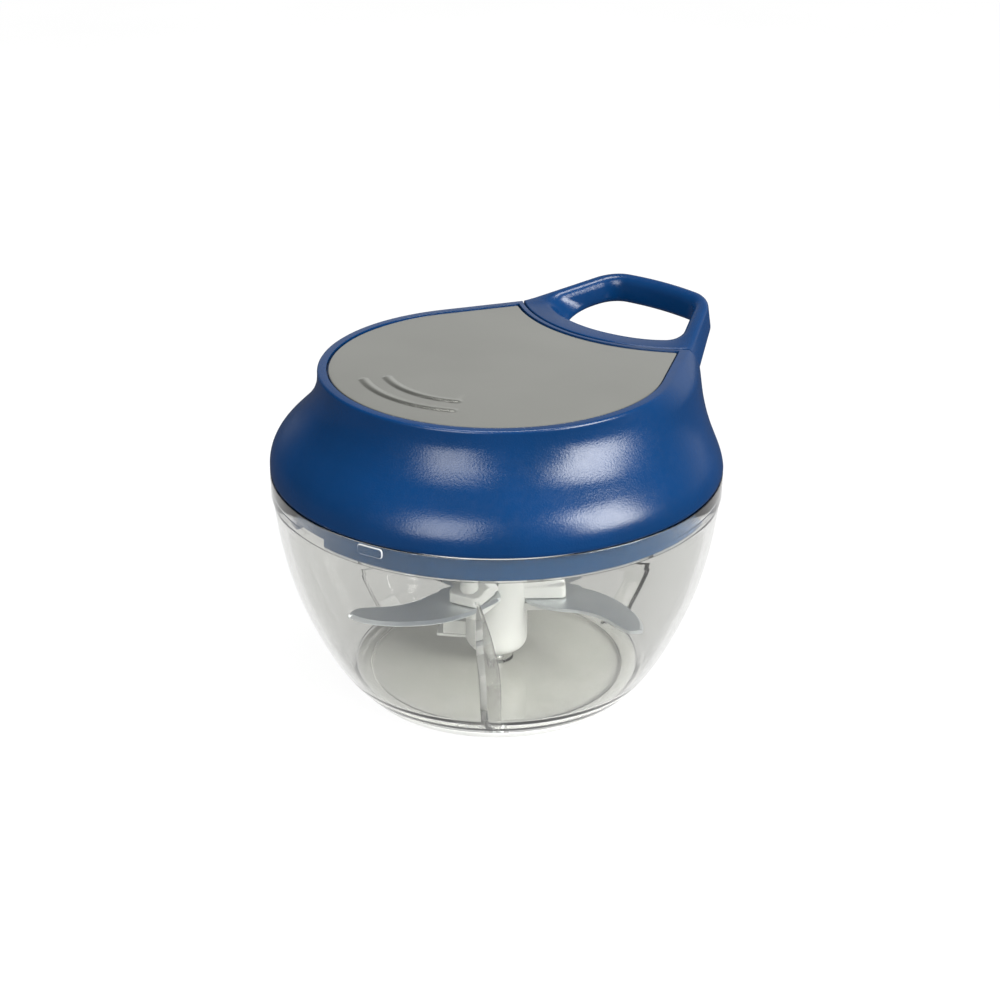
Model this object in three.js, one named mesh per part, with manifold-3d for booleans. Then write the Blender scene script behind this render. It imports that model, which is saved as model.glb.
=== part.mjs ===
// Pull-cord vegetable chopper: clear bowl, blade unit, blue lid with a sprung reel, and a loop handle.
// Millimetres, +Z up, the bowl's axis through the origin, the table at zero height, the handle towards +X.
import * as THREE from "three";
import { mergeVertices } from "three/addons/utils/BufferGeometryUtils.js";
import Module from "manifold-3d";

const wasm = await Module();
wasm.setup();

// Fits
const fit = 0.3; // between pieces that touch
const overrun = 2; // cuts run past the faces they open by this much
const overlap = 0.4; // pieces of one moulding are sunk into each other by this much
const weld = 0.0001; // corners nearer than this are one corner

// Bowl
const rimRadius = 66.85;
const rimTop = 69.7;
const rimThickness = 2.75;
const rimDepth = 6.2;
const rimLedgeDrop = 1.6;
const rimEdge = 0.5;
const wallThickness = 2.5;
// The wall's radii as shares of the rim's, and their heights as shares of the way from the foot to the rim
const wallRadiusShares = [0.6731, 0.718, 0.7666, 0.8139, 0.8676, 0.9219, 0.9642, 0.9892, 0.9925];
const wallHeightShares = [0, 0.0599, 0.1431, 0.2429, 0.376, 0.5424, 0.7421, 0.9418, 0.995];
const floorThickness = 2.9;
const floorInset = 7.1;
const floorCornerInset = 2.4;
const floorCornerRise = 0.9;
const bowlSegments = 64;
const innerSegments = 48; // round pieces inside

// Foot under the bowl
const footInset = 0.4;
const footTaper = 2.9;
const footEdge = 0.6;
const footRingTop = 3.1;
const footRingWidth = 5.3;
const footThickness = 1.6;

// Fins inside the bowl, root to inner edge: each leans sideways as it comes in
const finHeightShares = [0.0083, 0.1764, 0.4093, 0.609, 0.7754, 0.8835]; // from foot to rim
const finDepths = [5.2, 5, 4.5, 4, 2, 0.4];
const finLeans = [4.2, 4.9, 5.1, 3.6, 1.8, 0.5];
const finThickness = 2.2;
const finTipShare = 0.55;
const finRootDepth = 1.2;
const finCount = 3;
const firstFinDegrees = -142.2;

// Marks on the rim: a low raised pad outside, and a notch in the skirt behind it
const padDegrees = [188.6, 195.6];
const padDrops = [3.4, 0.4];
const padRise = 0.45;
const notchDegrees = [162.5, 175.5];
const notchHeight = 2.6;

// Pin and blade unit
const pinRadius = 2;
const pinDrop = 11.4;
const pinRoot = 1.4;
const pinBossRadius = 5.2;
const pinBossRise = 1;
const shaftRadius = 9.5;
const shaftLift = 2.4;
const shaftGap = 0.4;
const shaftRounding = 4.8;
const shaftRoundingDegrees = [-68, -45, -22, 0];
const shaftSegments = 40;
const collarRadius = 20.4;
const collarDrop = 8.6;
const collarThickness = 2.2;
const armReach = 21;
const armHalfWidth = 5;
const armBelow = 3.5;
const armAbove = 4;
const armDegrees = 31;
const armCorner = 2;
const postRadius = 2.8;
const postReach = 16.8;
const ledgeReach = 16.4;
const ledgeHalfWidth = 2.6;
const ledgeRises = [5.2, 10];
const ledgeFootReach = 18.3;
const ledgeFootHalfWidth = 3.1;
const ledgeFootRises = [4.8, 5.7];
const ledgeDegrees = 125;
const bladeHeightShares = [0.5152, 0.4134, 0.6234]; // from the shaft's end to its collar
const bladeDegrees = [163, 284, 43.5];
const bladeThickness = 1.1;
const bladeGrind = 0.9;
const bladeClearance = 6.3; // between the blades' tips and the bowl
const bladeTipShares = [1, -0.0162]; // shares of the blade's reach
const bladeEdgeShares = [
  [0.9533, 0.0852], [0.8641, 0.1785], [0.7505, 0.2515], [0.6288, 0.3043],
  [0.5071, 0.3306], [0.3753, 0.3245], [0.2434, 0.288], [0.1095, 0.2394],
];
const bladeBackShares = [
  [0.0933, 0.1663], [0.1826, 0.0203], [0.3043, -0.0243], [0.426, -0.0162], [0.5477, 0.0203],
  [0.6694, 0.0264], [0.7708, 0], [0.8519, -0.0365], [0.9331, -0.0609],
];
const bladeEdgeSteps = 18;

// Lid: round at the bottom, a teardrop with straight sides on top
const lidEdgeInset = 0.75;
const lidBulgeInset = 0.05;
const lidTopRadius = 52;
const sideDegrees = 62; // the straight sides leave the round at this angle from the handle's axis
const jointReach = 35.8; // from the bowl's axis to the joint between lid and handle
const jointRadius = 52.2; // of the joint's arc, whose centre is on the handle's axis
const lidWall = 2.6;
const lidWallDrop = 4;
const lidSegments = 72;
const deckThickness = 1.7;
const recessDepth = 1.6;
const recessGap = 0.45;
const plateInset = 3.1;
const plateJointInset = 2;
const plateThickness = 1;
const plateEdge = 0.35;
const ribCentre = [-4, 2.3];
const ribRadii = [28.2, 35.1];
const ribWidth = 3.4;
const ribRise = 0.4;
const ribDegrees = [148, 213];
const lidRimRounding = 0.7;
// Share of the way from the top outline out to the bulge, by share of the lid's height
const heightShares = [0, 0.04, 0.12, 0.2, 0.28, 0.36, 0.44, 0.52, 0.6, 0.68, 0.76, 0.84, 0.92, 1];
const roundShares = [1, 1, 0.99, 0.945, 0.86, 0.73, 0.565, 0.395, 0.26, 0.15, 0.075, 0.025, 0.005, 0];
const cornerShares = [1, 1, 0.95, 0.87, 0.78, 0.7, 0.63, 0.57, 0.52, 0.48, 0.44, 0.38, 0.24, 0];
const cornerDegrees = 35;
const cornerFadeDegrees = 75;

// Lid floor and skirt
const skirtGap = 0.4;
const skirtWall = 2.2;
const skirtLift = 0.5;
const skirtRise = 2.4;
const lidFloorSink = 1.2;
const lidFloorThickness = 2.2;
const collarBoreRadius = 7.9;
const collarOuterRadius = 11.2;
const journalDrop = 3.2;
const journalRise = 1.6;
const bossRadius = 4;
const bossInset = 12;
const bossCount = 4;
const bossHoleRadius = 2;
const bossHoleDepth = 14;
const screwHeadRadius = 3.4;
const screwHeadHeight = 1.9;
const screwCrownShare = 0.7;
const screwRadius = 1.6;
const screwLength = 14;
const screwSlotWidth = 0.9;
const screwSlotDepth = 0.8;

// Reel, clutch and cord
const axleRadius = 4;
const axleLift = 2.7;
const reelGap = 0.5;
const reelFlange = 0.9;
const reelRadius = 19.3;
const drumRadius = 13.6;
const grooveHeight = 8.8;
const arborRadius = 7;
const cupGap = 0.8;
const cupRoof = 1.7;
const toothOuterRadius = 15;
const toothInnerRadius = 13.2;
const toothCount = 12;
const toothWidthShare = 0.8;
const caseInner = 20;
const caseThickness = 1.5;
const caseOverlap = 1.3;
const caseWindowHalfWidth = 7;
const caseWindowDrop = 4.6;
const springStart = 8.2;
const springEnd = 19.1;
const springTurns = 5;
const springStrip = 0.6;
const springWidth = 4.4;
const springGaps = [0.9, 1.1]; // under and over the spring
const springStepsPerTurn = 16;
const hubRadius = 13.6;
const hubThickness = 3.1;
const hubGap = 0.5;
const journalRadius = 7.6;
const journalStandOut = 1;
const driverHalf = 4.1;
const driverLength = 7.4;
const driverGap = 1;
const socketGap = 0.35;
const pawlPinRadius = 1.3;
const pawlPinReach = 8.6;
const pawlPinStandOut = 0.2;
const pawlGap = 0.4;
const pawlThickness = 2.6;
const pawlCount = 2;
const pawlNose = [[-2.4, -1.6], [0, -2.3], [4.8, 0.3], [6.4, 3.5], [4, 2.6], [0, 2.3], [-2.4, 1.4]];
const cordRadius = 0.7;
const cordPitch = 1.9;
const cordTurns = 3.6;
const cordGap = 0.35;
const cordDrop = 4;
const cordSides = 6;
const cordStepsPerTurn = 24;
const eyeletRadius = 1.6;
const eyeletBore = 1.1;
const eyeletLength = 4.4;
const eyeletInset = 0.2;

// Handle: a flat loop that rises away from the lid
const handleGap = 0.5;
const handleLength = 41.2;
const handleSideDegrees = 64; // its sides close in a little less than the lid's
const handleThickness = 7.3;
const handleRootFlare = 3.8;
const handleEndFlare = 0.8;
const handleRounding = 1.2;
const handleSlope = 0.23;
const handleRiseInset = 8.2;
const handleRiseBlend = 8;
const handleUnderShare = 0.79; // share of the top's rise that the underside follows
const handleCorner = 12;
const rootBarWidth = 8.2;
const endBarWidth = 3.9;
const sideBarWidth = 4.5;
const openingCorner = 7.5;
const openingTopCorner = 4; // of the opening's corners beside the root bar, which widen downwards
const openingRoundShare = 0.9; // of a full round end, that they come to at the underside
const openingRounding = 1.8;
const cornerSteps = 8;
const endDegrees = 4;
const endArch = 0.7;
const knotRadius = 1.6;
const knotInset = 4.1;
const knotPocketRadius = 2;
const knotPocketInset = 2.1;

// Radii and reaches that follow from these, from the rim inwards
const wallRadii = wallRadiusShares.map((share) => share * rimRadius);
const rimInnerRadius = rimRadius - rimThickness;
const floorRadius = wallRadii[0] - floorInset;
const footRingRadius = wallRadii[0] - footInset;
const footRingInner = footRingRadius - footRingWidth;
const footRadius = footRingRadius - footTaper;
const lidEdgeRadius = rimRadius - lidEdgeInset;
const lidBulgeRadius = rimRadius - lidBulgeInset;
const skirtRadius = rimInnerRadius - skirtGap;
const skirtInner = skirtRadius - skirtWall;
const bossReach = skirtInner - bossInset;
const jointCentre = jointReach + jointRadius;
const openingJointRadius = jointRadius - rootBarWidth;
const eyeletStart = jointReach - eyeletInset - eyeletLength;
const knotPocketStart = jointReach + knotPocketInset;
const knotCentre = jointReach + knotInset;
const handleRiseStart = jointReach + handleRiseInset;
const handleEnd = jointReach + handleLength;
const openingEnd = handleEnd - endBarWidth;

// Heights that follow, from the table up: the lid is as high as the hub, clutch, spring and reel in it need
const floorUnder = footThickness + fit;
const floorTop = floorUnder + floorThickness;
const floorCorner = [wallRadii[0] - floorCornerInset, floorTop + floorCornerRise];
const wallBottom = footRingTop + fit;
const rimBottom = rimTop - rimDepth;
const rimLedge = rimBottom - rimLedgeDrop;
const upTheWall = (share) => wallBottom + share * (rimBottom - wallBottom);
const wallHeights = wallHeightShares.map(upTheWall);
const finHeights = finHeightShares.map(upTheWall);
const lidBottom = rimTop + fit;
const lidFloorTop = lidBottom - lidFloorSink;
const lidFloorUnder = lidFloorTop - lidFloorThickness;
const skirtBottom = rimLedge + skirtLift;
const skirtTop = lidBottom + skirtRise;
const notchTop = skirtBottom + notchHeight;
const journalTop = lidFloorTop + journalRise;
const journalBottom = lidFloorUnder - journalDrop;
const journalEnd = journalBottom - journalStandOut;
const driverBottom = journalEnd - driverLength;
const hubBottom = journalTop + hubGap;
const hubTop = hubBottom + hubThickness;
const pawlBottom = hubTop + pawlGap;
const pawlTop = pawlBottom + pawlThickness;
const pawlPinTop = pawlTop + pawlPinStandOut;
const cupBottom = hubTop + fit;
const cupTop = pawlPinTop + cupGap + cupRoof;
const springBottom = cupTop + springGaps[0];
const springTop = springBottom + springWidth;
const flangeBottom = springTop + springGaps[1];
const grooveBottom = flangeBottom + reelFlange;
const grooveTop = grooveBottom + grooveHeight;
const reelTop = grooveTop + reelFlange;
const axleBottom = cupTop + axleLift;
const caseBottom = cupTop - caseOverlap;
const deckUnder = reelTop + reelGap;
const caseWindowBottom = deckUnder - caseWindowDrop;
const recessFloor = deckUnder + deckThickness;
const plateBottom = recessFloor + fit;
const plateTop = plateBottom + plateThickness;
const lidTop = recessFloor + recessDepth;
const cordHeight = lidTop - cordDrop;
const shaftTop = journalEnd - shaftGap;
const shaftBottom = floorTop + shaftLift;
const socketBottom = driverBottom - driverGap;
const collarBottom = shaftTop - collarDrop;
const collarTop = collarBottom + collarThickness;
const bladeHeights = bladeHeightShares.map((share) => shaftBottom + share * (collarBottom - shaftBottom));
const pinTop = collarBottom - pinDrop;
const pinBottom = floorTop - pinRoot;
const pinBossTop = floorTop + pinBossRise;

// Materials, one function each
function paint(color, roughness, metalness) {
  return new THREE.MeshStandardMaterial({ color, roughness, metalness });
}

const bluePlastic = () => paint("#174a80", 0.32, 0);
const clearPlastic = () => paint("#c9cdc6", 0.08, 0);
const whitePlastic = () => paint("#e6e6e1", 0.4, 0);
const footRubber = () => paint("#dcdcd6", 0.6, 0);
const satinSteel = () => paint("#9a9a93", 0.3, 0.9);
const bladeSteel = () => paint("#8f9496", 0.22, 0.9);
const darkPlastic = () => paint("#2c2e31", 0.5, 0);
const cordWeave = () => paint("#e9e7de", 0.85, 0);

// Solids from three.js shapes
function solid(geometry) {
  const bare = geometry.index ? geometry.toNonIndexed() : geometry.clone();
  bare.deleteAttribute("normal");
  bare.deleteAttribute("uv");
  const merged = mergeVertices(bare, weld);
  const all = merged.index.array;
  const kept = [];
  for (let i = 0; i < all.length; i += 3) {
    const [a, b, c] = [all[i], all[i + 1], all[i + 2]];
    if (a !== b && b !== c && c !== a) kept.push(a, b, c);
  }
  const make = (triVerts) =>
    new wasm.Manifold(
      new wasm.Mesh({ numProp: 3, vertProperties: merged.attributes.position.array, triVerts })
    );
  const made = make(new Uint32Array(kept));
  return made.volume() < 0 ? make(new Uint32Array(kept.reverse())) : made;
}

function addMesh(group, name, body, material) {
  const { numProp, vertProperties, triVerts } = body.getMesh();
  const geometry = new THREE.BufferGeometry();
  geometry.setAttribute("position", new THREE.BufferAttribute(new Float32Array(vertProperties), numProp));
  geometry.setIndex(new THREE.BufferAttribute(new Uint32Array(triVerts), 1));
  geometry.computeVertexNormals();
  const mesh = new THREE.Mesh(geometry, material);
  mesh.name = name;
  group.add(mesh);
}

function turned(profile, segments) {
  const points = profile.map(([radius, height]) => new THREE.Vector2(radius, height));
  return solid(new THREE.LatheGeometry(points, segments).rotateX(Math.PI / 2));
}

const cylinder = (radius, bottom, top, segments) =>
  turned([[0, bottom], [radius, bottom], [radius, top], [0, top]], segments);

function ring(inner, outer, bottom, top, segments) {
  return turned([[inner, bottom], [outer, bottom], [outer, top], [inner, top], [inner, bottom]], segments);
}

function block(x, y, z) {
  const geometry = new THREE.BoxGeometry(x[1] - x[0], y[1] - y[0], z[1] - z[0]);
  geometry.translate((x[0] + x[1]) / 2, (y[0] + y[1]) / 2, (z[0] + z[1]) / 2);
  return solid(geometry);
}

function slab(shape, bottom, top, curveSegments = 12) {
  const settings = { depth: top - bottom, bevelEnabled: false, curveSegments };
  return solid(new THREE.ExtrudeGeometry(shape, settings).translate(0, 0, bottom));
}

const shapeOf = (points) => new THREE.Shape(points.map(([x, y]) => new THREE.Vector2(x, y)));
const radians = (degrees) => THREE.MathUtils.degToRad(degrees);

function polar(radius, degrees) {
  const turn = radians(degrees);
  return [radius * Math.cos(turn), radius * Math.sin(turn)];
}

function sector(inner, outer, degrees, bottom, top) {
  const shape = new THREE.Shape();
  shape.absarc(0, 0, outer, radians(degrees[0]), radians(degrees[1]), false);
  shape.absarc(0, 0, inner, radians(degrees[1]), radians(degrees[0]), true);
  return slab(shape, bottom, top, 12);
}

function tube(path, radius, steps) {
  const shape = new THREE.Shape().absarc(0, 0, radius, 0, 2 * Math.PI, false);
  const settings = { extrudePath: path, steps, bevelEnabled: false, curveSegments: cordSides / 2 };
  return solid(new THREE.ExtrudeGeometry(shape, settings));
}

// A closed body through rings of equal count, capped by fans from the middle of the first and the last
function loft(rings) {
  const count = rings[0].length;
  const positions = [];
  const face = (...corners) => corners.forEach((corner) => positions.push(...corner));
  for (let level = 0; level + 1 < rings.length; level += 1) {
    for (let i = 0; i < count; i += 1) {
      const j = (i + 1) % count;
      const [low, high] = [rings[level], rings[level + 1]];
      face(low[i], low[j], high[j]);
      face(low[i], high[j], high[i]);
    }
  }
  const mean = (ring, axis) => ring.reduce((sum, point) => sum + point[axis], 0) / count;
  const middle = (ring) => [0, 1, 2].map((axis) => mean(ring, axis));
  const [first, last] = [rings[0], rings[rings.length - 1]];
  const [firstMiddle, lastMiddle] = [middle(first), middle(last)];
  for (let i = 0; i < count; i += 1) {
    const j = (i + 1) % count;
    face(firstMiddle, first[j], first[i]);
    face(lastMiddle, last[i], last[j]);
  }
  const geometry = new THREE.BufferGeometry();
  geometry.setAttribute("position", new THREE.BufferAttribute(new Float32Array(positions), 3));
  return solid(geometry);
}

const spin = (body, degrees) => body.rotate([0, 0, degrees]);
const along = (body) => body.rotate([0, 90, 0]);

function between(value, keys, results) {
  const next = Math.min(Math.max(keys.findIndex((key) => key >= value), 1), keys.length - 1);
  const share = (value - keys[next - 1]) / (keys[next] - keys[next - 1]);
  return THREE.MathUtils.lerp(results[next - 1], results[next], share);
}

// Bowl
const innerWall = (height) => between(height, wallHeights, wallRadii) - wallThickness;

function bowlShell() {
  const outer = wallHeights.map((height, i) => [wallRadii[i], height]);
  const inner = wallHeights.filter((height) => height > floorCorner[1] + overlap && height < rimLedge);
  const profile = [
    [0, floorUnder],
    [footRingInner - fit, floorUnder],
    [footRingInner - fit, wallHeights[0]],
    ...outer,
    [rimRadius, rimBottom],
    [rimRadius, rimTop - rimEdge],
    [rimRadius - rimEdge, rimTop],
    [rimInnerRadius + rimEdge, rimTop],
    [rimInnerRadius, rimTop - rimEdge],
    [rimInnerRadius, rimLedge],
    [innerWall(rimLedge), rimLedge],
    ...inner.reverse().map((height) => [innerWall(height), height]),
    floorCorner,
    [floorRadius, floorTop],
    [0, floorTop],
  ];
  return turned(profile, bowlSegments);
}

function fin(degrees) {
  const rings = finHeights.map((height, i) => {
    const root = innerWall(Math.max(height, floorTop)) + finRootDepth;
    const tip = innerWall(Math.max(height, floorTop)) - finDepths[i];
    const half = finThickness / 2;
    const tipHalf = half * finTipShare;
    const lean = finLeans[i];
    return [
      [tip, lean - tipHalf, height],
      [root, -half, height],
      [root, half, height],
      [tip, lean + tipHalf, height],
    ];
  });
  return spin(loft(rings), degrees);
}

function bowl() {
  let body = bowlShell();
  for (let i = 0; i < finCount; i += 1) {
    body = body.add(fin(firstFinDegrees + (360 / finCount) * i));
  }
  const pad = sector(
    rimRadius - overlap, rimRadius + padRise, padDegrees, rimTop - padDrops[0], rimTop - padDrops[1]);
  const boss = cylinder(pinBossRadius, floorTop - overlap, pinBossTop, 32);
  const pinHole = cylinder(pinRadius + fit, pinBottom - fit, pinBossTop + overrun, 24);
  return body.add(pad).add(boss).subtract(pinHole);
}

function basePad() {
  return turned(
    [
      [0, 0],
      [footRadius - footEdge, 0],
      [footRadius, footEdge],
      [footRingRadius, footRingTop],
      [footRingInner, footRingTop],
      [footRingInner, footThickness],
      [0, footThickness],
    ],
    innerSegments
  );
}

const bladePin = () =>
  turned([[0, pinBottom], [pinRadius, pinBottom], [pinRadius, pinTop - pinRadius], [0, pinTop]], 24);

// Blade unit
const bladeReach = innerWall(Math.min(...bladeHeights)) - bladeClearance;

function bladeOutline(grow, grind) {
  const knots = [bladeTipShares, ...bladeEdgeShares].map(([x, y]) => new THREE.Vector2(x, y));
  const edge = new THREE.SplineCurve(knots).getPoints(bladeEdgeSteps).map(({ x, y }) => [x, y]);
  const outline = [...edge, ...bladeBackShares].map(([x, y]) => [x * bladeReach, y * bladeReach]);
  return outline.map(([x, y], i) => {
    const before = outline[(i + outline.length - 1) % outline.length];
    const after = outline[(i + 1) % outline.length];
    const normal = new THREE.Vector2(after[1] - before[1], before[0] - after[0]).normalize();
    const out = i > 0 && i < edge.length - 1 ? grow - grind : grow;
    return [x + normal.x * out, y + normal.y * out];
  });
}

function bladeBody(index, levels) {
  const rings = levels.map(([height, grow, grind]) =>
    bladeOutline(grow, grind).map(([x, y]) => [x, y, bladeHeights[index] + height]));
  return spin(loft(rings), bladeDegrees[index]);
}

function blade(index) {
  const half = bladeThickness / 2;
  return bladeBody(index, [[-half, 0, 0], [-half / 2, 0, 0], [half, 0, bladeGrind]]);
}

function bladeSlot(index) {
  const half = bladeThickness / 2 + fit;
  return bladeBody(index, [[-half, fit, 0], [half, fit, 0]]);
}

function armShape() {
  const shape = new THREE.Shape();
  shape.moveTo(0, -armHalfWidth);
  shape.lineTo(armReach - armCorner, -armHalfWidth);
  shape.quadraticCurveTo(armReach, -armHalfWidth, armReach, armCorner - armHalfWidth);
  shape.lineTo(armReach, armHalfWidth - armCorner);
  shape.quadraticCurveTo(armReach, armHalfWidth, armReach - armCorner, armHalfWidth);
  shape.lineTo(0, armHalfWidth);
  shape.closePath();
  return shape;
}

function bladeShaft() {
  const low = shaftBottom + shaftRounding;
  const narrow = shaftRadius - shaftRounding;
  const profile = [[0, shaftBottom], [narrow, shaftBottom]];
  for (const degrees of shaftRoundingDegrees) {
    const [x, z] = polar(shaftRounding, degrees);
    profile.push([narrow + x, low + z]);
  }
  profile.push([shaftRadius, shaftTop], [0, shaftTop]);
  const collar = cylinder(collarRadius, collarBottom, collarTop, shaftSegments);
  let body = turned(profile, shaftSegments).add(collar);
  bladeHeights.forEach((height, i) => {
    const degrees = bladeDegrees[i] + armDegrees;
    const post = cylinder(postRadius, height + armAbove - overlap, collarBottom + overlap, 20);
    const arm = slab(armShape(), height - armBelow, height + armAbove, 6);
    body = body.add(spin(arm.add(post.translate([postReach, 0, 0])), degrees));
  });
  const up = (rises) => rises.map((height) => shaftBottom + height);
  const bar = (reach, half, rises) => block([0, reach], [-half, half], up(rises));
  const ledge = bar(ledgeReach, ledgeHalfWidth, ledgeRises);
  const ledgeFoot = bar(ledgeFootReach, ledgeFootHalfWidth, ledgeFootRises);
  body = body.add(spin(ledge.add(ledgeFoot), ledgeDegrees));
  bladeHeights.forEach((height, i) => {
    body = body.subtract(bladeSlot(i));
  });
  const bore = cylinder(pinRadius + fit, shaftBottom - overrun, pinTop + fit, 24);
  const half = driverHalf + socketGap;
  const socket = block([-half, half], [-half, half], [socketBottom, shaftTop + overrun]);
  return body.subtract(bore).subtract(socket);
}

// Lid outlines
function topRadius(degrees, radius, arcRadius) {
  const turn = Math.abs(((degrees + 540) % 360) - 180);
  const straight = turn < sideDegrees ? radius / Math.cos(radians(sideDegrees - turn)) : radius;
  const [forward, side] = polar(jointCentre, turn);
  if (turn > sideDegrees || side >= arcRadius) return straight;
  return Math.min(straight, forward - Math.sqrt(arcRadius ** 2 - side ** 2));
}

function lidShare(degrees, heightShare) {
  const turn = Math.abs(((degrees + 540) % 360) - 180);
  const fade = turn < cornerDegrees ? cornerDegrees : cornerFadeDegrees;
  const away = Math.min(Math.abs(turn - cornerDegrees) / fade, 1);
  const corner = (1 + Math.cos(Math.PI * away)) / 2;
  const round = between(heightShare, heightShares, roundShares);
  return THREE.MathUtils.lerp(round, between(heightShare, heightShares, cornerShares), corner);
}

function lidRadius(degrees, height) {
  const top = topRadius(degrees, lidTopRadius, jointRadius);
  const heightShare = THREE.MathUtils.clamp((height - lidBottom) / (lidTop - lidBottom), 0, 1);
  return THREE.MathUtils.lerp(top, lidBulgeRadius, lidShare(degrees, heightShare));
}

function ringAt(height, count, radiusAt) {
  return Array.from({ length: count }, (_, i) => {
    const degrees = (360 / count) * i;
    return [...polar(radiusAt(degrees), degrees), height];
  });
}

function lidOutside() {
  const rings = [ringAt(lidBottom, lidSegments, () => lidEdgeRadius)];
  for (const share of heightShares.slice(1, -1)) {
    const height = THREE.MathUtils.lerp(lidBottom, lidTop, share);
    rings.push(ringAt(height, lidSegments, (degrees) => lidRadius(degrees, height)));
  }
  const shoulder = lidTop - lidRimRounding;
  rings.push(ringAt(shoulder, lidSegments, (degrees) => lidRadius(degrees, shoulder)));
  rings.push(ringAt(lidTop, lidSegments, (degrees) => lidRadius(degrees, lidTop) - lidRimRounding));
  return loft(rings);
}

function lidInside() {
  const mouth = [lidBottom - overrun, skirtTop + fit].map((height) =>
    ringAt(height, lidSegments / 2, () => skirtRadius + fit));
  const shares = heightShares.filter((share, i) => i % 2 === 0);
  const heights = shares
    .map((share) => THREE.MathUtils.lerp(lidBottom, lidTop, share))
    .filter((height) => height > skirtTop + lidWall && height < deckUnder - lidWall);
  const rings = [...heights, deckUnder].map((height) =>
    ringAt(height, lidSegments / 2, (degrees) => lidRadius(degrees, height + lidWallDrop) - lidWall));
  return loft([...mouth, ...rings]);
}

function topSlab(inset, jointInset, bottom, top) {
  const radiusAt = (degrees) => topRadius(degrees, lidTopRadius - inset, jointRadius + jointInset);
  return loft([ringAt(bottom, lidSegments, radiusAt), ringAt(top, lidSegments, radiusAt)]);
}

// A body that stands on the table is laid along the cord's straight line, its foot at x
const onCordLine = (body, x) => along(body).translate([x, 0, cordHeight]);

function around(count, make) {
  return Array.from({ length: count }, (_, i) => make((360 / count) * (i + 0.5)));
}

function lidShell() {
  const opened = lidTop + overrun;
  const recess = topSlab(plateInset - recessGap, plateJointInset - recessGap, recessFloor, opened);
  const seatBottom = lidTop - handleThickness - fit;
  const handleSeat = cylinder(jointRadius, seatBottom, opened, 2 * lidSegments);
  const seatWall = cylinder(jointRadius + lidWall, seatBottom - lidWall, opened, lidSegments);
  const outside = lidOutside();
  let body = outside.subtract(lidInside().subtract(seatWall.translate([jointCentre, 0, 0])));
  const atBoss = (pillar) =>
    around(bossCount, (degrees) => spin(pillar.translate([bossReach, 0, 0]), degrees));
  const bosses = atBoss(cylinder(bossRadius, lidFloorTop + fit, deckUnder + overlap, 24));
  const holes = atBoss(cylinder(bossHoleRadius, lidFloorTop - overrun, lidFloorTop + bossHoleDepth, 16));
  const mouth = cylinder(skirtInner, lidFloorTop, lidBottom + overrun, 24);
  bosses.forEach((boss) => { body = body.add(boss.intersect(outside.add(mouth))); });
  holes.forEach((hole) => { body = body.subtract(hole); });
  const axle = cylinder(axleRadius, axleBottom, deckUnder + overlap, 32);
  const cordHole = onCordLine(cylinder(eyeletRadius + fit, 0, jointRadius, 20), eyeletStart);
  return body
    .add(axle)
    .subtract(recess)
    .subtract(handleSeat.translate([jointCentre, 0, 0]))
    .subtract(cordHole);
}

function topPlate() {
  const radiusAt = (inset) => (degrees) =>
    topRadius(degrees, lidTopRadius - plateInset - inset, jointRadius + plateJointInset + inset);
  let body = loft([
    ringAt(plateBottom, lidSegments, radiusAt(0)),
    ringAt(plateTop - plateEdge, lidSegments, radiusAt(0)),
    ringAt(plateTop, lidSegments, radiusAt(plateEdge)),
  ]);
  for (const radius of ribRadii) {
    const half = ribWidth / 2;
    const quarter = half / 2;
    const middle = plateTop + ribRise / 2;
    const low = sector(radius - half, radius + half, ribDegrees, plateTop - overlap, middle);
    const high = sector(radius - quarter, radius + quarter, ribDegrees, plateTop, plateTop + ribRise);
    body = body.add(low.add(high).translate([...ribCentre, 0]));
  }
  return body;
}

function lidBase() {
  let body = turned(
    [
      [collarBoreRadius, journalBottom],
      [collarOuterRadius, journalBottom],
      [collarOuterRadius, lidFloorUnder],
      [skirtInner, lidFloorUnder],
      [skirtInner, skirtBottom],
      [skirtRadius, skirtBottom],
      [skirtRadius, skirtTop],
      [skirtInner, skirtTop],
      [skirtInner, lidFloorTop],
      [collarOuterRadius, lidFloorTop],
      [collarOuterRadius, journalTop],
      [collarBoreRadius, journalTop],
      [collarBoreRadius, journalBottom],
    ],
    innerSegments
  );
  const hole = cylinder(screwRadius + fit, lidFloorUnder - overrun, lidFloorTop + overrun, 16);
  const holes = around(bossCount, (degrees) => spin(hole.translate([bossReach, 0, 0]), degrees));
  holes.forEach((bored) => { body = body.subtract(bored); });
  const [inner, outer] = [skirtInner - overrun, skirtRadius + overrun];
  return body.subtract(sector(inner, outer, notchDegrees, skirtBottom - overrun, notchTop));
}

function lidScrew(degrees) {
  const headTop = lidFloorUnder - fit;
  const headBottom = headTop - screwHeadHeight;
  const body = turned(
    [
      [0, headBottom],
      [screwHeadRadius * screwCrownShare, headBottom],
      [screwHeadRadius, headTop - screwHeadHeight / 2],
      [screwHeadRadius, headTop],
      [screwRadius, headTop],
      [screwRadius, headTop + screwLength - screwRadius],
      [0, headTop + screwLength],
    ],
    12
  );
  const slotHalf = screwSlotWidth / 2;
  const slot = block(
    [-screwHeadRadius - overrun, screwHeadRadius + overrun],
    [-slotHalf, slotHalf],
    [headBottom - overrun, headBottom + screwSlotDepth]
  );
  return spin(body.subtract(slot).translate([bossReach, 0, 0]), degrees);
}

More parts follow.
